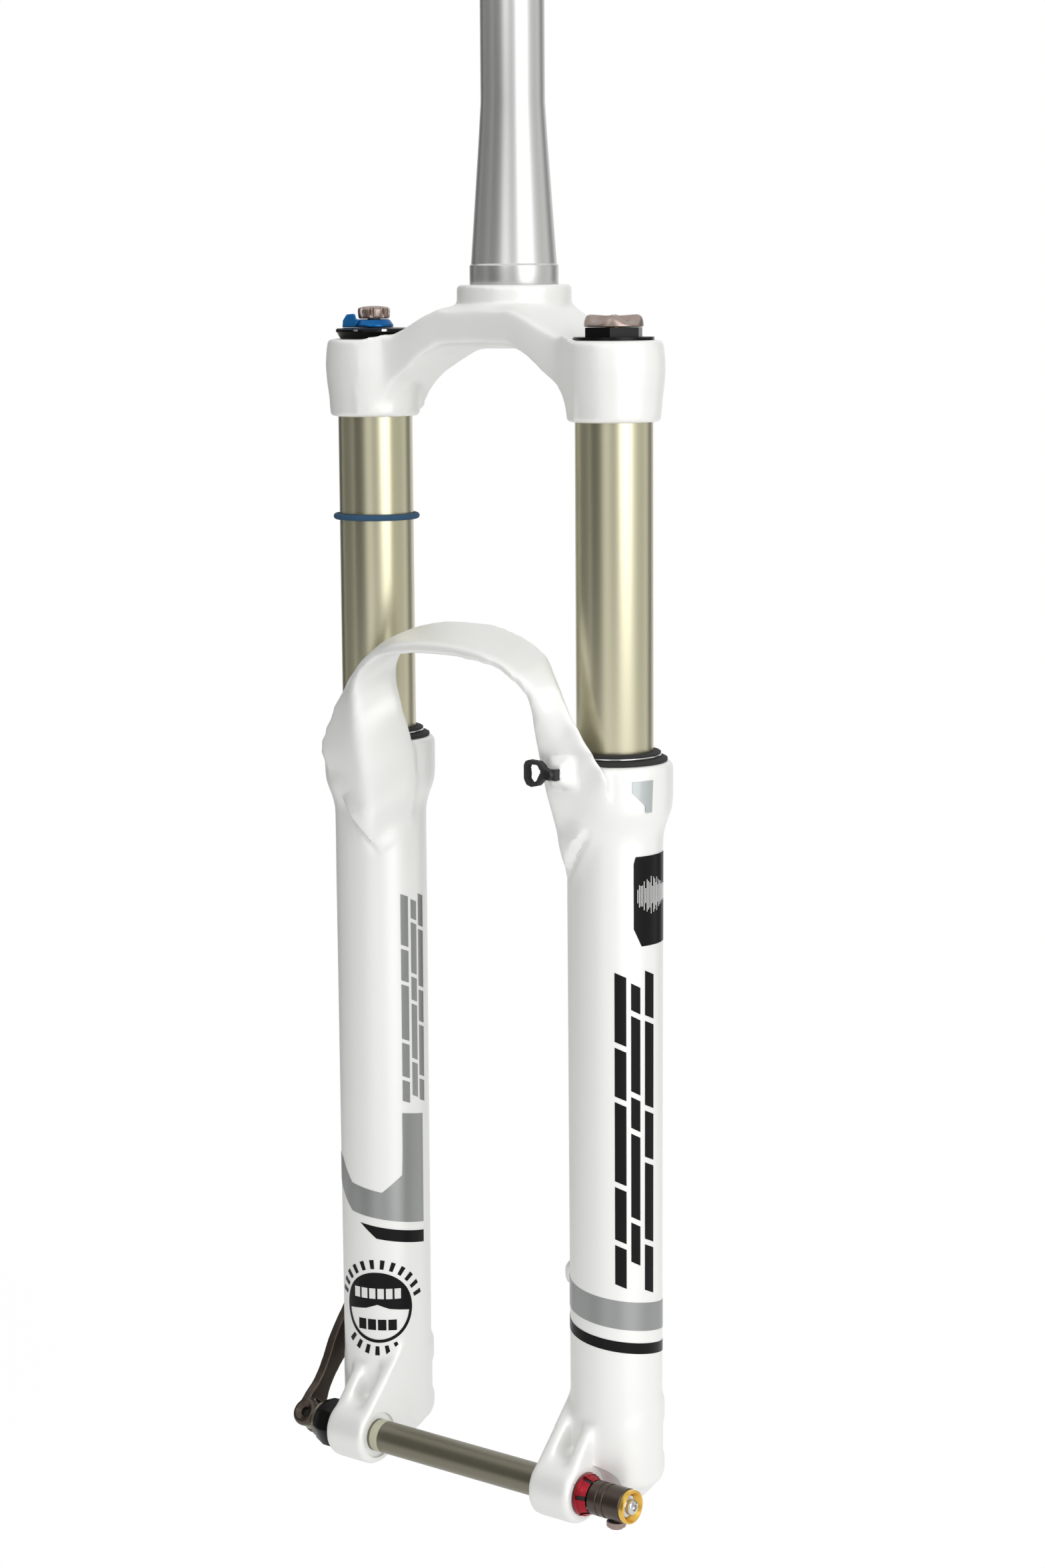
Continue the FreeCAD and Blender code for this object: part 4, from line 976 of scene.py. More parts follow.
    def _leg_bore(self, side: Side) -> bmesh.types.BMesh:
        """Inside of one leg, with its seal pocket and the counterbore below.

        Args:
            side: Leg to cut.

        Returns:
            A tool to cut with.
        """
        return lathe([
            (0, -550.0), (8.2, -550.0), (8.2, -531.0), (4.2, -531.0), (4.2, -515.0), (16.0, -515.0),
            (self.bore, -511.0), (self.bore, -217.0), (self.seal_pocket, -217.0), (self.seal_pocket, -200.0),
            (0, -200.0),
        ], steps=96, at=side.axis)

    def _fillet(self, place: Vector) -> bool:
        """Tell whether a point lies where the arch or a post runs into a leg.

        Args:
            place: Point in millimetres.

        Returns:
            Whether it is smoothed with those joins.
        """
        upper, lower = self.post_heights
        near_arch = self.arch_foot < place.z < -222.0
        near_post = lower - 10.4 < place.z < upper + 23.4 and -3.0 < place.y < 5.0 and place.x > 40.0
        return near_arch or near_post

    def _on_arch(self, place: Vector) -> bool:
        """Tell whether a point belongs to the arch and not to a round seal head."""
        axis = Side.AIR.axis
        return place.z > self.arch_foot and math.hypot(abs(place.x) - axis.x, place.y - axis.y) > 26.2

    def _tongue(self, skin: bmesh.types.BMesh, side: Side) -> None:
        """Raise the foot of the arch into a tongue with a sharp slanted outer edge.

        Args:
            skin: Mesh of the whole casting, changed in place.
            side: Leg that the tongue lies on.
        """
        start, tip = Vector((-93.0, self.tongue_top)), Vector((-50.0, self.tongue_tip))
        scale = math.radians(1.0) * self.neck_radius
        run = Vector(((tip.x - start.x) * scale, tip.y - start.y))
        across = Vector((-run.y, run.x)).normalized()
        for vert in skin.verts:
            if vert.co.x * side.sign < 0 or not -270.0 < vert.co.z < -222.0:
                continue
            out = Vector((vert.co.x - side.axis.x, vert.co.y - side.axis.y, 0))
            angle = math.degrees(math.atan2(out.y, -side.sign * out.x))
            if not -125.0 < angle < 10.0:
                continue
            offset = Vector(((angle - start.x) * scale, vert.co.z - start.y))
            along = offset.dot(run) / run.length_squared
            aside = offset.dot(across)
            if not -0.12 < along < 1.0:
                continue
            rise = min(1.0, (along + 0.12) / 0.34) * (1.0 - along) ** 0.6
            if aside > 0.0:
                share = min(1.0, aside / 0.9) * math.exp(-(max(0.0, aside - 0.9) / 7.0) ** 2)
            else:
                share = -0.65 * math.exp(-(aside / 2.4) ** 2) * min(1.0, -aside / 0.4)
            vert.co += out.normalized() * (self.tongue_height * rise * share)

    def _guide_pad(self, skin: bmesh.types.BMesh) -> None:
        """Raise the small flat pad that the hose guide is screwed to.

        Args:
            skin: Mesh of the whole casting, changed in place.
        """
        low, high = (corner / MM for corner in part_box("hose_guide"))
        edge = []
        pad_left, pad_right, blend = high.x - 9.0, high.x + 3.6, 3.4
        for vert in skin.verts:
            if vert.co.y > -42.0:
                continue
            depth = min(vert.co.x - pad_left, pad_right - vert.co.x,
                        vert.co.z - low.z + 2.6, high.z + 2.6 - vert.co.z)
            share = min(1.0, max(0.0, depth / blend))
            share *= share * (3.0 - 2.0 * share)
            vert.co.y += (high.y - 0.1 - vert.co.y) * share
            if 0.0 < share < 1.0:
                edge.append(vert)
        relax(skin, 4, edge)

    def _true_up(self, skin: bmesh.types.BMesh) -> None:
        """Bring the plain length of each leg back to its exact taper.

        Args:
            skin: Mesh of the whole casting, changed in place.
        """
        for vert in skin.verts:
            side = Side.AIR if vert.co.x > 0 else Side.DAMPER
            if not -492.0 < vert.co.z < -268.0:
                continue
            out = Vector((vert.co.x - side.axis.x, vert.co.y - side.axis.y, 0))
            radius = self.radius_at(vert.co.z)
            if abs(out.length - radius) < 0.9:
                vert.co += out.normalized() * (radius - out.length)


@dataclass
class Decals:
    """Bands, panels and the roundel on the lower legs, as thin wrapped films.

    Angles are degrees round a leg from +X towards +Y.
    """

    casting: LowerCasting
    lift: float = 0.05
    film: float = 0.14
    step: float = 1.5
    tilt: float = -0.062
    flat_radius: float = 21.0
    roundel_angle: float = -62.0
    roundel_height: float = -477.8
    roundel_radius: float = 17.2

    def build(self) -> None:
        """Lay every film."""
        self._air_leg()
        self._damper_leg()
        self._roundel()

    def _film(self, name: str, side: Side, finish: Finish, outlines: Sequence[Sequence[tuple[float, float]]],
              lift: float = 0.0, radius: float = 0.0) -> None:
        """Wrap flat outlines onto a leg.

        Args:
            name: Name of the piece.
            side: Leg that it goes on.
            finish: Its finish.
            outlines: Corners as angle in degrees and height in millimetres.
            lift: Extra height above the leg, for a film on top of a film.
            radius: Radius to wrap at, or 0 for the leg's own taper.
        """
        mesh = bmesh.new()
        for outline in outlines:
            face = mesh.faces.new([mesh.verts.new((math.radians(angle) * self.flat_radius, 0, height))
                                   for angle, height in outline])
            if face.normal.y > 0:
                face.normal_flip()
        span = [vert.co.x for vert in mesh.verts]
        cut = min(span) + self.step
        while cut < max(span):
            bmesh.ops.bisect_plane(mesh, geom=mesh.verts[:] + mesh.edges[:] + mesh.faces[:], dist=1e-5,
                                   plane_co=(cut, 0, 0), plane_no=(1, 0, 0))
            cut += self.step
        bmesh.ops.recalc_face_normals(mesh, faces=mesh.faces)
        axis = side.axis
        for vert in mesh.verts:
            angle = vert.co.x / self.flat_radius
            reach = (radius or self.casting.radius_at(vert.co.z)) + self.lift + self.film + lift
            vert.co = Vector((axis.x + reach * math.cos(angle), axis.y + reach * math.sin(angle), vert.co.z))
        mesh.normal_update()
        for face in mesh.faces:
            centre = face.calc_center_median()
            if face.normal.dot(Vector((centre.x - axis.x, centre.y - axis.y, 0))) < 0:
                face.normal_flip()
        bmesh.ops.solidify(mesh, geom=mesh.faces[:], thickness=self.film)
        bmesh.ops.recalc_face_normals(mesh, faces=mesh.faces)
        Piece(name, "lowers", finish, crease=60.0).place(mesh)

    def _tilted(self, outline: Profile, level: float = -51.0) -> list[tuple[float, float]]:
        """Slope an outline down round the leg, about one upright line."""
        return [(angle, height + self.tilt * (angle - level)) for angle, height in outline]

    @staticmethod
    def _bar(start: float, end: float, low: float, high: float, slant: float = 0.0
             ) -> list[tuple[float, float]]:
        """Outline of an upright bar; slant raises its far side."""
        return [(start, low), (end, low + slant), (end, high + slant), (start, high)]

    def _air_leg(self) -> None:
        """Panel, column of blocks and two bands on the air leg."""
        panel = [(-30.5, -250.0), (-28.0, -247.0), (30.5, -247.0), (30.5, -287.0), (-20.0, -287.0),
                 (-30.5, -279.0)]
        self._film("panel_black", Side.AIR, BLACK_DECAL, [panel])
        rule = []
        for index in range(25):
            angle = -26.0 + 2.2 * index
            reach = 3.0 + 5.5 * abs(math.sin(1.9 * index)) * math.exp(-((index - 10.0) / 9.0) ** 2)
            rule.append(self._bar(angle, angle + 0.9, -264.5 - reach, -264.5 + reach))
        self._film("panel_gauge", Side.AIR, WHITE_DECAL, rule, lift=0.12)
        bars = []
        for start, end, top, lengths in ((-54.0, -40.0, -298.0, (31.0, 22.0, 36.0, 24.0, 18.0)),
                                         (-34.0, -22.0, -303.0, (12.0, 34.0, 14.0, 38.0, 18.0)),
                                         (-15.0, -1.0, -298.0, (20.0, 38.0, 21.0, 35.0, 21.0))):
            for length in lengths:
                bars.append(self._bar(start, end, top - length, top, -2.4))
                top -= length + 2.6
        self._film("column_bars", Side.AIR, BLACK_DECAL, bars)
        self._film("band_silver_air", Side.AIR, SILVER_DECAL, [self._tilted(
            [(-150.0, -447.2), (50.0, -447.2), (50.0, -460.2), (-150.0, -460.2)])])
        self._film("band_black_air", Side.AIR, BLACK_DECAL, [self._tilted(
            [(-150.0, -466.0), (50.0, -466.0), (50.0, -471.0), (-150.0, -471.0)])])
        badge = [(-36.0, -213.0), (-13.0, -213.0), (-14.5, -227.0), (-21.5, -227.0), (-22.0, -224.0),
                 (-36.0, -218.0)]
        self._film("badge_grey", Side.AIR, GREY_DECAL, [badge], radius=25.75)

    def _damper_leg(self) -> None:
        """Column of slim blocks, the L-shaped band and the black band on the damper leg."""
        bars = []
        for start, end, top, lengths in ((-25.0, -14.5, -279.0, (24.0, 15.0, 26.0, 16.0, 10.0)),
                                         (-10.0, -1.0, -282.0, (9.0, 24.0, 11.0, 26.0, 16.0)),
                                         (3.0, 13.0, -280.0, (15.0, 27.0, 15.0, 24.0, 10.0))):
            for length in lengths:
                bars.append(self._bar(start, end, top - length, top, -1.6))
                top -= length + 1.9
        self._film("column_slim", Side.DAMPER, SILVER_DECAL, bars)
        self._film("band_silver_damper", Side.DAMPER, SILVER_DECAL, [self._tilted(outline) for outline in (
            [(-136.0, -424.0), (-136.0, -411.5), (-120.0, -412.5), (-98.0, -421.0), (-98.0, -434.7),
             (-120.0, -428.0)],
            [(-98.0, -421.0), (-54.0, -421.8), (-27.0, -412.0), (-26.0, -400.0), (8.0, -400.0), (8.0, -434.7),
             (-98.0, -434.7)],
            [(-26.0, -382.0), (8.0, -382.0), (8.0, -400.0), (-26.0, -400.0)],
        )])
        self._film("band_black_damper", Side.DAMPER, BLACK_DECAL, [self._tilted(
            [(-84.0, -438.8), (8.0, -438.8), (8.0, -444.6), (-62.0, -444.6)])])

    def _sector(self, inner: float, outer: float, start: float, end: float, steps: int
                ) -> list[list[tuple[float, float]]]:
        """Cut a flat ring sector about the roundel's middle into quads.

        Args:
            inner: Inner radius in millimetres.
            outer: Outer radius in millimetres.
            start: First angle in degrees, clockwise from the top.
            end: Last angle.
            steps: Number of quads.

        Returns:
            An outline for each quad.
        """
        quads = []
        for index in range(steps):
            corners = []
            for reach, turn in ((inner, index), (outer, index), (outer, index + 1), (inner, index + 1)):
                corners.append(self._round_point(reach, start + (end - start) * turn / steps))
            quads.append(corners)
        return quads

    def _round_point(self, reach: float, turn: float) -> tuple[float, float]:
        """Return a point at a radius and a clockwise angle about the roundel's middle."""
        angle = math.radians(turn)
        return (self.roundel_angle + math.degrees(reach * math.sin(angle) / self.flat_radius),
                self.roundel_height + reach * math.cos(angle))

    def _roundel(self) -> None:
        """Roundel: a ring, a dark upper half with a plain slanted border, and tick marks."""
        centre, height, radius = self.roundel_angle, self.roundel_height, self.roundel_radius
        self._film("roundel_ring", Side.DAMPER, BLACK_DECAL, self._sector(radius - 1.5, radius, 0, 360, 72))
        dome = [self._round_point(radius - 1.2, turn) for turn in range(-96, 97, 8)]
        dome += [(centre + 16.0, height - 0.5), (centre, height + 1.5), (centre - 16.0, height - 0.5)]
        self._film("roundel_dome", Side.DAMPER, BLACK_DECAL, [dome])
        marks = []
        for start, end, count in ((-74.0, 74.0, 12), (154.0, 221.0, 6)):
            for index in range(count):
                angle = start + (end - start) * index / (count - 1)
                marks.extend(self._sector(radius + 1.8, radius + 6.2, angle - 2.7, angle + 2.7, 1))
        self._film("roundel_ticks", Side.DAMPER, BLACK_DECAL, marks)
        bars = [self._bar(centre + shift, centre + shift + 8.4, height + 4.4, height + 9.4)
                for shift in (-33.0, -21.9, -10.8, 0.3, 11.4, 22.5)]
        self._film("roundel_bars_white", Side.DAMPER, WHITE_DECAL, bars, lift=0.12)
        bars = [self._bar(centre + shift, centre + shift + 11.0, height - 11.0, height - 5.8)
                for shift in (-27.0, -13.3, 0.4, 14.1)]
        self._film("roundel_bars_black", Side.DAMPER, BLACK_DECAL, bars)


# ---------------------------------------------------------------------------
# Seals and rings
# ---------------------------------------------------------------------------
@dataclass
class Seals:
    """Wiper seals with their garter springs, and the travel O-ring."""

    stanchion_radius: float = 17.0
    flange_radius: float = 23.3
    ring_radius: float = 18.46
    wire_radius: float = 1.4

    def build(self) -> None:
        """Build both wipers and the O-ring."""
        for side in Side:
            self._wiper(side)
            self._garter(side)
        low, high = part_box("travel_oring")
        height = (low.z + high.z) / 2 / MM
        ring = self._hoop(self.ring_radius, self.wire_radius, height, Side.DAMPER.axis)
        Piece("travel_ring", "oring", BLUE_RUBBER, ("travel_oring",), "blue_rubber").place(ring)

    @staticmethod
    def _hoop(ring: float, wire: float, height: float, at: Vector) -> bmesh.types.BMesh:
        """Round ring of round wire."""
        turns = [math.tau * index / 24 for index in range(24)]
        profile = [(ring + wire * math.cos(turn), height + wire * math.sin(turn)) for turn in turns]
        return lathe(profile, ring=True, steps=128, at=at)

    def _wiper(self, side: Side) -> None:
        """Seal with two lips, a groove for the garter spring and a flange on the leg.

        Args:
            side: Leg that it closes.
        """
        inner, outer = self.stanchion_radius + 0.12, self.flange_radius
        mesh = lathe([
            (inner, -212.0), (21.5, -212.0), (21.5, -206.95), (outer - 0.3, -206.95), (outer, -206.5),
            (outer - 0.1, -205.7), (outer - 1.1, -205.15), (21.3, -205.1), (20.9, -204.95), (20.0, -204.9),
            (19.55, -204.55), (19.5, -204.0), (19.8, -203.7), (20.3, -203.55), (20.35, -203.1),
            (19.9, -202.75), (19.1, -202.7), (18.6, -202.45), (17.9, -202.35), (inner, -202.6),
        ], ring=True, steps=128, at=side.axis)
        Piece("wiper_" + side.value, "lowers", BLACK_RUBBER, ("wiper_seal_" + side.value,),
              "black_rubber").place(mesh)

    def _garter(self, side: Side) -> None:
        """Fine spring wire round the wiper's lip.

        Args:
            side: Leg that it is on.
        """
        low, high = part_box("garter_spring_" + side.value)
        height = (low.z + high.z) / 2 / MM
        Piece("garter_" + side.value, "lowers", BRIGHT_STEEL, ("garter_spring_" + side.value,),
              "bright_steel").place(self._hoop(20.05, 0.5, height, side.axis))


# ---------------------------------------------------------------------------
# Controls on the crown
# ---------------------------------------------------------------------------
@dataclass
class DamperControls:
    """Rimmed top cap, with a blue compression lever under a fluted pewter threshold knob."""

    tab_voxel: float = 0.28
    cap_radius: float = 17.5
    plug_radius: float = 14.6
    cap_bore: float = 2.3
    notch_count: int = 8
    ring_radius: float = 8.9
    tab_reach: float = 14.4
    tab_angle: float = 219.0
    knob_radius: float = 7.4
    flutes: int = 9

    def build(self) -> None:
        """Build the cap, the lever and the knob."""
        self._cap()
        self._lever()
        self._knob()

    def _lever(self) -> None:
        """Ring with a sloping shoulder and a rounded tab that stands up at one side."""
        axis = Side.DAMPER.axis
        low, high = (corner.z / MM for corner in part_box("compression_lever"))
        ring = lathe([(3.2, low + 0.1), (self.ring_radius, low + 0.1), (self.ring_radius, low + 1.2),
                      (7.4, -15.6), (6.9, -15.2), (3.2, -15.2)], ring=True, steps=96)
        tab = plate([(6.6, low + 0.1), (self.tab_reach, low + 0.1), (self.tab_reach - 0.3, high - 3.0),
                     (self.tab_reach - 2.0, high - 0.3), (9.4, high), (8.6, high - 0.4), (8.2, -15.0),
                     (6.6, -15.4)], 6.6)
        moved(tab, Matrix.Rotation(math.radians(self.tab_angle), 4, "Z"))
        lever = cast([ring, tab], self.tab_voxel)
        relax(lever, 3)
        lever = combined(lever, [lathe([(0, -25), (3.4, -25), (3.4, -10), (0, -10)], steps=48)])
        Piece("compression_tab", "compression_lever", BLUE_ANODISED, ("compression_lever",),
              "blue_anodised").place(moved(lever, Matrix.Translation(axis)))

    def _cap(self) -> None:
        """Top cap: a thin rim with bright wrench notches over a tapered body."""
        low, high = (corner.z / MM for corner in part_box("damper_top_cap"))
        rim, plug, bore = self.cap_radius, self.plug_radius, self.cap_bore
        body = lathe([(bore, low), (plug, low), (plug, high - 5.0), (15.4, high - 5.0), (rim - 0.5, high - 2.2),
                      (rim, high - 1.8), (rim, high - 0.7), (rim - 0.4, high - 0.3), (rim - 2.6, high - 0.1),
                      (rim - 3.0, high), (bore, high)], ring=True, steps=160)
        notches, chips = [], []
        for index in range(self.notch_count):
            turn = Matrix.Rotation(math.radians(360.0 / self.notch_count * index + 12.0), 4, "Z")
            notch = plate([(rim - 1.1, high - 1.5), (rim + 1.0, high - 1.5), (rim + 1.0, high + 1.0),
                           (rim - 1.1, high + 1.0)], 2.6)
            chip = plate([(rim - 1.6, high - 1.9), (rim - 0.7, high - 1.9), (rim - 0.7, high - 0.5),
                          (rim - 1.6, high - 0.5)], 2.5)
            notches.append(moved(notch, turn))
            chips.append(moved(chip, turn))
        place = Matrix.Translation(Side.DAMPER.axis)
        Piece("cap_rimmed", "chassis", BLACK_ANODISED, ("damper_top_cap",), "black_anodised",
              crease=30.0).place(moved(combined(body, notches), place))
        Piece("cap_notches", "chassis", BARE_ALUMINIUM, crease=30.0).place(moved(together(chips), place))

    def _knob(self) -> None:
        """Domed knob with flutes that run out at its lower rim."""
        radius = self.knob_radius
        mesh = lathe([(0, -30.0), (3.0, -30.0), (3.0, -14.9), (radius - 0.6, -14.9), (radius - 0.3, -14.4),
                      (radius - 0.15, -13.6), (radius - 0.05, -12.8), (radius, -12.0), (radius, -11.2),
                      (radius - 0.1, -10.5), (radius - 0.5, -10.0), (radius - 1.2, -9.75), (radius - 2.4, -9.5),
                      (radius - 4.0, -9.25), (radius - 5.8, -9.1), (0, -9.1)], steps=216)
        for vert in mesh.verts:
            reach = math.hypot(vert.co.x, vert.co.y)
            if reach < radius - 2.6 or vert.co.z < -14.0:
                continue
            turn = math.cos(self.flutes * math.atan2(vert.co.y, vert.co.x) + 2.6)
            dip = 1.5 * max(0.0, (turn - 0.35) / 0.65) ** 0.7 * min(1.0, (vert.co.z + 14.0) / 1.2)
            vert.co.xy *= max(radius - 1.5, reach - dip) / reach if reach > radius - 1.5 else 1.0
        bmesh.ops.recalc_face_normals(mesh, faces=mesh.faces)
        Piece("knob_fluted", "threshold_knob", PEWTER, ("threshold_knob",), "pewter_anodised").place(
            moved(mesh, Matrix.Translation(Side.DAMPER.axis)))


@dataclass
class ValveCap:
    """Air valve cap with four lobes that stand up between four scallops."""

    radius: float = 12.9
    bottom: float = -18.3
    top: float = -13.0
    room: float = 4.6

    def build(self) -> None:
        """Spin the cap and press the scallops into its top and rim."""
        radius, top = self.radius, self.top
        rim = [(radius - 0.4, self.bottom), (radius, self.bottom + 0.4), (radius, self.bottom + 1.1),
               (radius - 0.1, self.bottom + 2.0), (radius - 0.3, self.bottom + 3.0), (radius - 0.7, top - 1.2),
               (radius - 1.3, top - 0.5), (radius - 2.2, top - 0.1), (radius - 3.4, top)]
        inner = [(reach, top - 0.07 * (radius - 3.4 - reach)) for reach in (8.4, 7.2, 6.0, 4.8, 3.6, 2.4, 1.2)]
        under = [(0, -14.2), (self.room, -14.2), (self.room, self.bottom)]
        mesh = lathe(under + rim + inner + [(0, top - 0.6)], steps=240)
        for vert in mesh.verts:
            reach = math.hypot(vert.co.x, vert.co.y)
            if vert.co.z < self.bottom + 0.9 or reach < self.room + 0.1:
                continue
            wave = max(0.0, 0.5 - 0.5 * math.cos(4.0 * math.atan2(vert.co.y, vert.co.x) - 2.3))
            share = min(1.0, (reach - self.room) / 2.4)
            height = (vert.co.z - self.bottom - 0.9) / (top - self.bottom - 0.9)
            vert.co.z -= 3.0 * wave ** 0.7 * share * height
            vert.co.xy *= 1.0 - 0.09 * wave * height * share
        bmesh.ops.recalc_face_normals(mesh, faces=mesh.faces)
        Piece("valve_cap_lobed", "valve_cap", PEWTER, ("valve_cap",), "pewter_anodised").place(
            moved(mesh, Matrix.Translation(Side.AIR.axis)))


# ---------------------------------------------------------------------------
# Axle and its ends
# ---------------------------------------------------------------------------
@dataclass
class AxleEnds:
    """Collar, quick-release lever, expander, tension nut, end ring, screws and the axle's pale band."""

    lobe_radius: float = 6.7
    lobe_in: float = 2.9
    lobe_out: float = 7.6
    arm_reach: float = 72.0
    arm_thickness: float = 4.6
    lever_voxel: float = 0.42

    @functools.cached_property
    def hub(self) -> Vector:
        """Return the middle of the axle, in millimetres."""
        centre = middle("axle")
        return Vector((0.0, centre.y, centre.z))

    def build(self) -> None:
        """Build every piece at both ends of the axle."""
        self._collar()
        self._lever()
        self._expander()
        self._nut()
        self._end()
        self._thumb_screw()
        band = lathe([(7.3, -49.9), (7.53, -49.9), (7.53, -45.4), (7.3, -45.4)], ring=True, steps=96,
                     at=self.hub, axis=Axis.PLUS_X)
        Piece("axle_band", "axle", PALE_BAND).place(band)

    def _collar(self) -> None:
        """Eight-sided collar with cut-back corners outside."""
        mesh = lathe([(7.75, -72.65), (11.6, -72.65), (12.15, -74.2), (12.15, -78.4), (9.9, -84.0),
                      (7.75, -84.0)], ring=True, steps=8, at=self.hub, axis=Axis.PLUS_X)
        soften(mesh, 0.5, 3)
        mesh = combined(mesh, [lathe([(0, -90), (7.75, -90), (7.75, -70), (0, -70)], steps=64, at=self.hub,
                                     axis=Axis.PLUS_X)])
        Piece("collar_faceted", "axle_collar", BLACK_ANODISED, ("axle_collar",), "black_anodised",
              crease=25.0).place(mesh)

    def _lever(self) -> None:
        """Lever: two round lobes about the hinge, run into a waisted arm."""
        along, hinge = Vector((0.0, 0.6, 0.8)), Vector((0.0, -0.8, 0.6))
        centre = middle("lever_pin")
        frame_matrix = Matrix((along, Vector((-1.0, 0.0, 0.0)), hinge)).transposed().to_4x4()
        frame_matrix.translation = centre
        lobes = [lathe([(0, sign * self.lobe_in), (self.lobe_radius - 0.9, sign * self.lobe_in),
                        (self.lobe_radius, sign * (self.lobe_in + 0.9)), (self.lobe_radius, sign * 5.6),
                        (self.lobe_radius - 0.5, sign * 6.8),
                        (self.lobe_radius - 1.3, sign * (self.lobe_out - 0.1)),
                        (self.lobe_radius - 2.0, sign * self.lobe_out), (0, sign * self.lobe_out)],
                       steps=72) for sign in (-1, 1)]
        half = [(3.0, 7.3), (9.0, 6.4), (15.0, 4.7), (21.0, 4.3), (28.0, 4.9), (36.0, 6.3), (44.0, 6.6),
                (58.0, 6.0), (68.0, 4.6), (self.arm_reach - 1.0, 2.4), (self.arm_reach, 0.0)]
        outline = half + [(reach, -wide) for reach, wide in reversed(half[:-1])]
        arm = plate(outline, self.arm_thickness)
        bmesh.ops.translate(arm, vec=(0, 2.1, 0), verts=arm.verts)
        slot = plate([(-12, -2.85), (7.6, -2.85), (7.6, 2.85), (-12, 2.85)], 20.0)
        lever = cast([combined(arm, [slot]), *lobes], self.lever_voxel)
        relax(lever, 6)
        pin = lathe([(0, -9), (2.25, -9), (2.25, 9), (0, 9)], steps=48)
        dimples = [lathe([(0, sign * (self.lobe_out - 3.4)), (4.9, sign * (self.lobe_out + 0.3)),
                          (0, sign * (self.lobe_out + 0.3))], steps=72) for sign in (-1, 1)]
        lever = combined(lever, [pin, *dimples])
        Piece("lever_arm", "quick_release", BROWN_ANODISED, ("quick_release_lever",), "brown_anodised").place(
            moved(lever, frame_matrix))
        mesh = lathe([(0, -4.4), (2.2, -4.4), (2.2, 4.4), (0, 4.4)], steps=48)
        Piece("lever_hinge_pin", "quick_release", BLACK_STEEL, ("lever_pin",), "bright_steel").place(
            moved(mesh, frame_matrix))

    def _expander(self) -> None:
        """Stepped red expander with six slots."""
        mesh = lathe([(7.55, 72.65), (9.1, 72.65), (9.6, 73.1), (9.6, 74.6), (9.3, 75.0), (9.0, 75.05),
                      (8.0, 78.1), (7.75, 78.4), (7.55, 78.4)],
                     ring=True, steps=120, at=self.hub, axis=Axis.PLUS_X)
        slots = []
        for index in range(6):
            blade = plate([(74.6, 6.5), (79.5, 6.5), (79.5, 12.0), (73.4, 12.0)], 1.9)
            moved(blade, Matrix.Rotation(math.radians(60 * index + 20), 4, "X"))
            slots.append(moved(blade, Matrix.Translation(self.hub)))
        Piece("expander_slotted", "expander", RED_ANODISED, ("expander",), "red_anodised", crease=25.0).place(
            combined(mesh, slots))
        core = lathe([(7.52, 73.2), (8.6, 73.2), (7.65, 78.0), (7.52, 78.0)], ring=True, steps=96, at=self.hub,
                     axis=Axis.PLUS_X)
        Piece("expander_core", "expander", BLACK_RUBBER).place(core)

    def _nut(self) -> None:
        """Tension nut with two fine grooves between bright corners."""
        radius = 7.8
        profile = [(5.6, 78.75), (radius - 0.5, 78.75), (radius, 79.25)]
        for start in (83.3, 86.9):
            profile += [(radius, start), (radius - 0.45, start + 0.3), (radius - 0.45, start + 0.9),
                        (radius, start + 1.2)]
        profile += [(radius, 96.2), (radius - 0.35, 96.55), (5.6, 96.55)]
        mesh = lathe(profile, ring=True, steps=128, at=self.hub, axis=Axis.PLUS_X)
        Piece("nut_grooved", "tension_nut", BROWN_ANODISED, ("tension_nut",), "brown_anodised",
              crease=25.0).place(mesh)

    def _end(self) -> None:
        """Dished gold ring and the domed screw inside it."""
        ring = lathe([(5.1, 96.6), (7.4, 96.6), (7.6, 96.9), (7.6, 98.7), (7.4, 99.2), (7.0, 99.4), (6.6, 99.3),
                      (6.3, 98.9), (5.6, 97.5), (5.1, 97.0)], ring=True, steps=128, at=self.hub, axis=Axis.PLUS_X)
        Piece("ring_dished", "tension_nut", GOLD_ANODISED, ("nut_end_ring",), "gold_anodised").place(ring)
        screw = lathe([(0, 96.9), (4.9, 96.9), (4.9, 97.3), (3.5, 97.6), (3.5, 98.8), (3.3, 99.5), (2.7, 100.0),
                       (1.7, 100.2), (1.5, 100.25), (1.3, 99.3), (0, 99.3)],
                      steps=96, at=self.hub, axis=Axis.PLUS_X)
        Piece("end_screw", "tension_nut", BRIGHT_STEEL, ("nut_end_screw",), "bright_steel").place(screw)

    def _thumb_screw(self) -> None:
        """Knurled screw head under the nut."""
        centre = middle("thumb_screw")
        low, high = (corner.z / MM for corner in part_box("thumb_screw"))
        mesh = lathe([(0, low), (3.0, low), (3.3, low + 0.3), (3.3, low + 0.8), (4.2, low + 0.9),
                      (4.4, low + 1.2), (4.4, low + 3.2), (4.1, low + 3.5), (1.6, low + 3.5), (1.6, high),
                      (0, high)], steps=144, at=(centre.x, self.hub.y, 0))
        for vert in mesh.verts:
            out = Vector((vert.co.x - centre.x, vert.co.y - self.hub.y, 0))
            if out.length > 3.0:
                dip = 0.22 * (0.5 + 0.5 * math.cos(24 * math.atan2(out.y, out.x)))
                vert.co -= out.normalized() * dip
        Piece("thumb_screw_knurled", "thumb_screw", PEWTER, ("thumb_screw",), "pewter_anodised",
              crease=20.0).place(mesh)


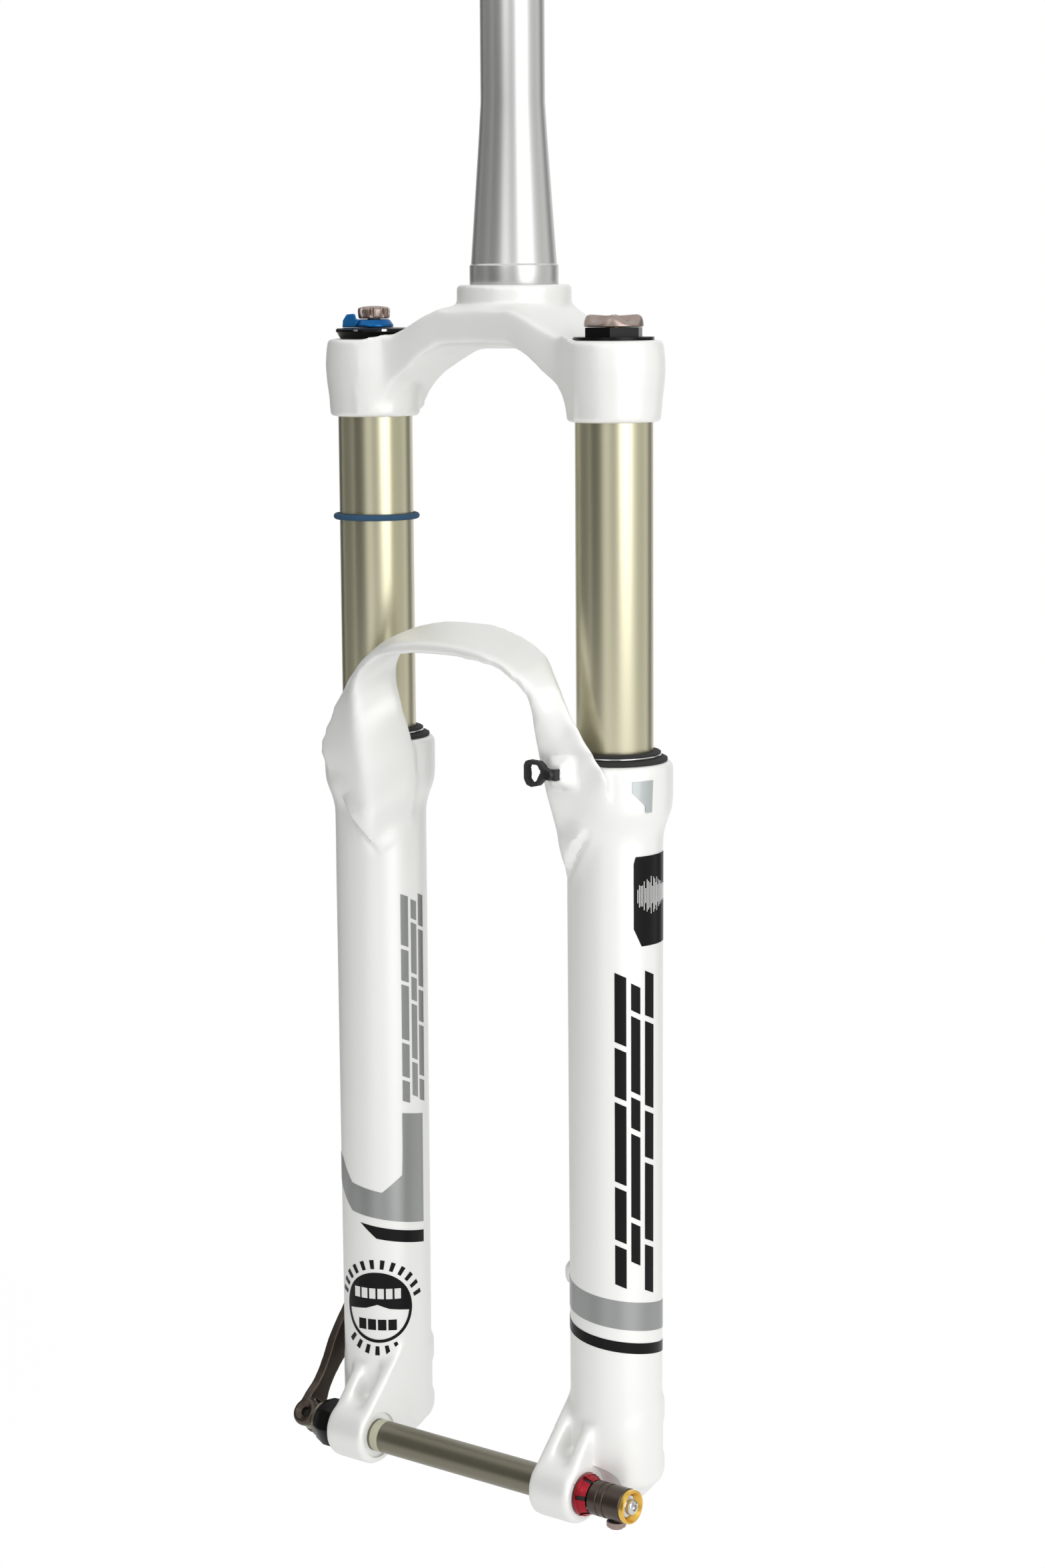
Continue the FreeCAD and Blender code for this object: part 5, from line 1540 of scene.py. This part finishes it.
@dataclass
class HoseGuide:
    """Guide for the brake hose: a rounded loop on a short stem."""

    depth: float = 3.6
    voxel: float = 0.32
    shift: float = 3.0

    def build(self) -> None:
        """Run the loop and stem into one piece."""
        low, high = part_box("hose_guide")
        left, right = low.x / MM + self.shift, high.x / MM
        front, mid = (low.y + high.y) / 2 / MM, (low.z + high.z) / 2 / MM
        loop = [(left, 3.4), (left + 0.9, 5.0), (left + 2.6, 5.7), (left + 8.2, 5.4), (left + 10.6, 3.6),
                (left + 11.4, 0.6), (left + 10.4, -2.6), (left + 7.6, -5.4), (left + 4.0, -6.2),
                (left + 1.4, -5.4), (left, -2.8)]
        inside = [(left + 1.8, 2.6), (left + 3.0, 3.9), (left + 7.6, 3.7), (left + 9.4, 1.0),
                  (left + 7.0, -3.3), (left + 3.6, -4.4), (left + 2.0, -2.8)]
        stem = [(left + 9.8, 3.2), (left + 12.6, 2.1), (right, 2.6), (right, -2.6), (left + 12.6, -1.9),
                (left + 9.8, -2.6)]
        place = Matrix.Translation((0, front, mid))
        hollow = moved(plate(inside, 12.0, 0.8), place)
        outer = [moved(plate(loop, self.depth), place), moved(plate(stem, self.depth), place)]
        mesh = combined(cast(outer, self.voxel), [hollow])
        relax(mesh, 3)
        Piece("hose_loop", "lowers", BLACK_PLASTIC, ("hose_guide",), "black_plastic").place(mesh)


# ---------------------------------------------------------------------------
# CAD nodes that keep their own shape
# ---------------------------------------------------------------------------
@dataclass
class KeptNodes:
    """Finishes for the pieces that show their CAD mesh."""

    def dress(self) -> None:
        """Give each shown node its finish."""
        finishes = {
            BARE_ALUMINIUM: ("damper_cartridge", "base_valve", "rebound_piston", "crush_washers"),
            BLACK_ANODISED: ("air_top_cap",),
            BLACK_PLASTIC: ("seal_head_damper", "seal_head_air", "air_piston"),
            BLACK_RUBBER: ("top_out_pad", "air_piston_seal", "bottom_out_bumper"),
            BLACK_STEEL: ("foot_bolt", "foot_nut", "hose_guide_screw"),
            BRASS: ("air_valve_stem", "valve_pin"),
            BRIGHT_STEEL: ("circlip_damper", "circlip_air", "damper_rod", "air_shaft", "rebound_needle"),
            BRONZE_BAND: ("bushing_upper_damper", "bushing_lower_damper", "bushing_upper_air",
                          "bushing_lower_air", "glide_band"),
            FOAM: ("foam_ring_damper", "foam_ring_air"),
            OLIVE: ("axle",),
            RED_ANODISED: ("rebound_knob",),
        }
        for finish, nodes in finishes.items():
            for node in nodes:
                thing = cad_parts[node]
                thing.data.materials.clear()
                thing.data.materials.append(finish.material())
                LOG.info("%s: kept from the CAD model, %s", node, finish.name)


# ---------------------------------------------------------------------------
# Studio
# ---------------------------------------------------------------------------
@dataclass
class Studio:
    """Camera, lamps, dark cards, floor and world. Lengths are in metres, angles in degrees."""

    target: Point = (0.0034, -0.0007, -0.2257)
    distance: float = 1.47
    azimuth: float = 38.8
    elevation: float = 8.8
    roll: float = -0.4
    lens: float = 73.8
    floor_drop: float = 0.30

    def build(self) -> None:
        """Set up everything that isn't part of the fork."""
        bpy.context.scene.view_settings.view_transform = "Standard"
        self._camera()
        self._world()
        self._floor()
        self._lamp("key", 33.0, 14.0, 2.0, (1.25, 1.9), 16.5)
        self._lamp("fill", -30.0, 34.0, 2.2, (1.0, 1.0), 4.0)
        self._card("card_left_front", -54.0, 1.6, 1.15, 2.4, 0.10)
        self._card("card_left", -100.0, 1.6, 1.3, 2.4, 0.22, shades=True)
        self._card("card_left_edge", -140.0, 1.6, 0.8, 2.4, 0.06, shades=True)
        self._card("card_front", 0.0, 2.1, 0.85, 2.6, 0.36)
        self._card("card_right", 80.0, 1.6, 1.0, 2.4, 0.62)
        self._card("card_right_edge", 126.0, 1.6, 0.75, 2.4, 0.12)

    def _toward(self, angle: float, elevation: float) -> Vector:
        """Find a direction as seen from the fork.

        Args:
            angle: Degrees to the right of the camera.
            elevation: Degrees above the horizon.

        Returns:
            A unit vector.
        """
        around = math.radians(self.azimuth + angle)
        up = math.radians(elevation)
        return Vector((math.sin(around) * math.cos(up), -math.cos(around) * math.cos(up), math.sin(up)))

    def _camera(self) -> None:
        """Place the camera with its small roll."""
        back = self._toward(0.0, self.elevation)
        right = Vector((0, 0, 1)).cross(back).normalized()
        up = back.cross(right)
        turn = math.radians(self.roll)
        turned_right = right * math.cos(turn) + up * math.sin(turn)
        turned_up = up * math.cos(turn) - right * math.sin(turn)
        data = bpy.data.cameras.new("camera")
        data.lens = self.lens
        data.sensor_width = 36.0
        thing = bpy.data.objects.new("camera", data)
        matrix = Matrix((turned_right, turned_up, back)).transposed().to_4x4()
        matrix.translation = Vector(self.target) + back * self.distance
        thing.matrix_world = matrix
        bpy.context.scene.collection.objects.link(thing)
        bpy.context.scene.camera = thing

    def _world(self) -> None:
        """White to the camera and in reflections, softer on the object."""
        world = bpy.data.worlds.new("studio")
        world.use_nodes = True
        bpy.context.scene.world = world
        nodes, link = world.node_tree.nodes, world.node_tree.links.new
        background = nodes["Background"]
        path = nodes.new("ShaderNodeLightPath")
        seen = nodes.new("ShaderNodeMath")
        seen.operation = "MAXIMUM"
        also = nodes.new("ShaderNodeMath")
        also.operation = "MAXIMUM"
        strength = nodes.new("ShaderNodeMapRange")
        strength.inputs["To Min"].default_value = 0.76
        strength.inputs["To Max"].default_value = 1.0
        link(path.outputs["Is Camera Ray"], seen.inputs[0])
        link(path.outputs["Is Glossy Ray"], seen.inputs[1])
        link(seen.outputs[0], also.inputs[0])
        link(path.outputs["Is Transmission Ray"], also.inputs[1])
        link(also.outputs[0], strength.inputs["Value"])
        link(strength.outputs["Result"], background.inputs["Strength"])
        background.inputs["Color"].default_value = (1, 1, 1, 1)

    def _floor(self) -> None:
        """Plain pale floor, well below the fork, which hangs by its steerer."""
        mesh = bmesh.new()
        bmesh.ops.create_grid(mesh, x_segments=1, y_segments=1, size=6.0)
        bmesh.ops.translate(mesh, vec=(0, 0, CAD_BOX[0].z - self.floor_drop), verts=mesh.verts)
        thing = self._stage("floor", mesh)
        material = bpy.data.materials.new("floor")
        material.use_nodes = True
        nodes, link = material.node_tree.nodes, material.node_tree.links.new
        shader = nodes["Principled BSDF"]
        shader.inputs["Base Color"].default_value = (0.86, 0.86, 0.86, 1)
        shader.inputs["Roughness"].default_value = 0.9
        glow = nodes.new("ShaderNodeEmission")
        glow.inputs["Strength"].default_value = 1.03
        path = nodes.new("ShaderNodeLightPath")
        seen = nodes.new("ShaderNodeMath")
        seen.operation = "MAXIMUM"
        share = nodes.new("ShaderNodeMath")
        share.operation = "MULTIPLY"
        share.inputs[1].default_value = 0.92
        mix = nodes.new("ShaderNodeMixShader")
        link(path.outputs["Is Camera Ray"], seen.inputs[0])
        link(path.outputs["Is Glossy Ray"], seen.inputs[1])
        link(seen.outputs[0], share.inputs[0])
        link(share.outputs[0], mix.inputs["Fac"])
        link(shader.outputs[0], mix.inputs[1])
        link(glow.outputs[0], mix.inputs[2])
        link(mix.outputs[0], nodes["Material Output"].inputs["Surface"])
        thing.data.materials.append(material)

    def _stage(self, name: str, mesh: bmesh.types.BMesh) -> bpy.types.Object:
        """Add an object that isn't part of the fork.

        Args:
            name: Name of the object.
            mesh: Its mesh in metres; it is used up.

        Returns:
            The new object.
        """
        data = bpy.data.meshes.new(name)
        mesh.to_mesh(data)
        mesh.free()
        thing = bpy.data.objects.new(name, data)
        bpy.context.scene.collection.objects.link(thing)
        return thing

    def _card(self, name: str, angle: float, distance: float, width: float, height: float, tone: float,
              shades: bool = False) -> None:
        """Put up an upright grey card facing the fork.

        Args:
            name: Name of the card.
            angle: Degrees to the right of the camera.
            distance: Distance from the fork in metres.
            width: Width in metres.
            height: Height in metres.
            tone: Even brightness of the card.
            shades: Whether it darkens dull surfaces too, and not only reflections.
        """
        mesh = bmesh.new()
        bmesh.ops.create_grid(mesh, x_segments=1, y_segments=1, size=0.5)
        bmesh.ops.scale(mesh, vec=(width, height, 1), verts=mesh.verts)
        toward = self._toward(angle, 0.0)
        turn = toward.to_track_quat("Z", "Y").to_matrix().to_4x4()
        turn.translation = Vector(self.target) + toward * distance
        moved(mesh, turn)
        thing = self._stage(name, mesh)
        material = bpy.data.materials.new(name)
        material.use_nodes = True
        shader = material.node_tree.nodes["Principled BSDF"]
        shader.inputs["Base Color"].default_value = (0, 0, 0, 1)
        shader.inputs["Specular IOR Level"].default_value = 0.0
        shader.inputs["Emission Color"].default_value = (tone, tone, tone * 0.96, 1)
        shader.inputs["Emission Strength"].default_value = 1.0
        thing.data.materials.append(material)
        thing.visible_camera = False
        thing.visible_diffuse = shades
        thing.visible_shadow = False
        thing.visible_transmission = False

    def _lamp(self, name: str, angle: float, elevation: float, distance: float, size: tuple[float, float],
              power: float) -> None:
        """Soft area lamp aimed at the fork.

        Args:
            name: Name of the lamp.
            angle: Degrees to the right of the camera.
            elevation: Degrees above the horizon.
            distance: Distance from the fork in metres.
            size: Width and height in metres.
            power: Power in watts.
        """
        data = bpy.data.lights.new(name, "AREA")
        data.shape = "RECTANGLE"
        data.size, data.size_y = size
        data.energy = power
        thing = bpy.data.objects.new(name, data)
        toward = self._toward(angle, elevation)
        matrix = toward.to_track_quat("Z", "Y").to_matrix().to_4x4()
        matrix.translation = Vector(self.target) + toward * distance
        thing.matrix_world = matrix
        bpy.context.scene.collection.objects.link(thing)


def main() -> None:
    """Build the fork from the top down, then the studio."""
    logging.basicConfig(level=logging.INFO, format="%(name)s %(message)s")
    Steerer().build()
    Crown().build()
    Stanchions().build()
    casting = LowerCasting()
    casting.build()
    Decals(casting).build()
    Seals().build()
    DamperControls().build()
    ValveCap().build()
    AxleEnds().build()
    HoseGuide().build()
    KeptNodes().dress()
    Studio().build()


if __name__ == "__main__":
    main()
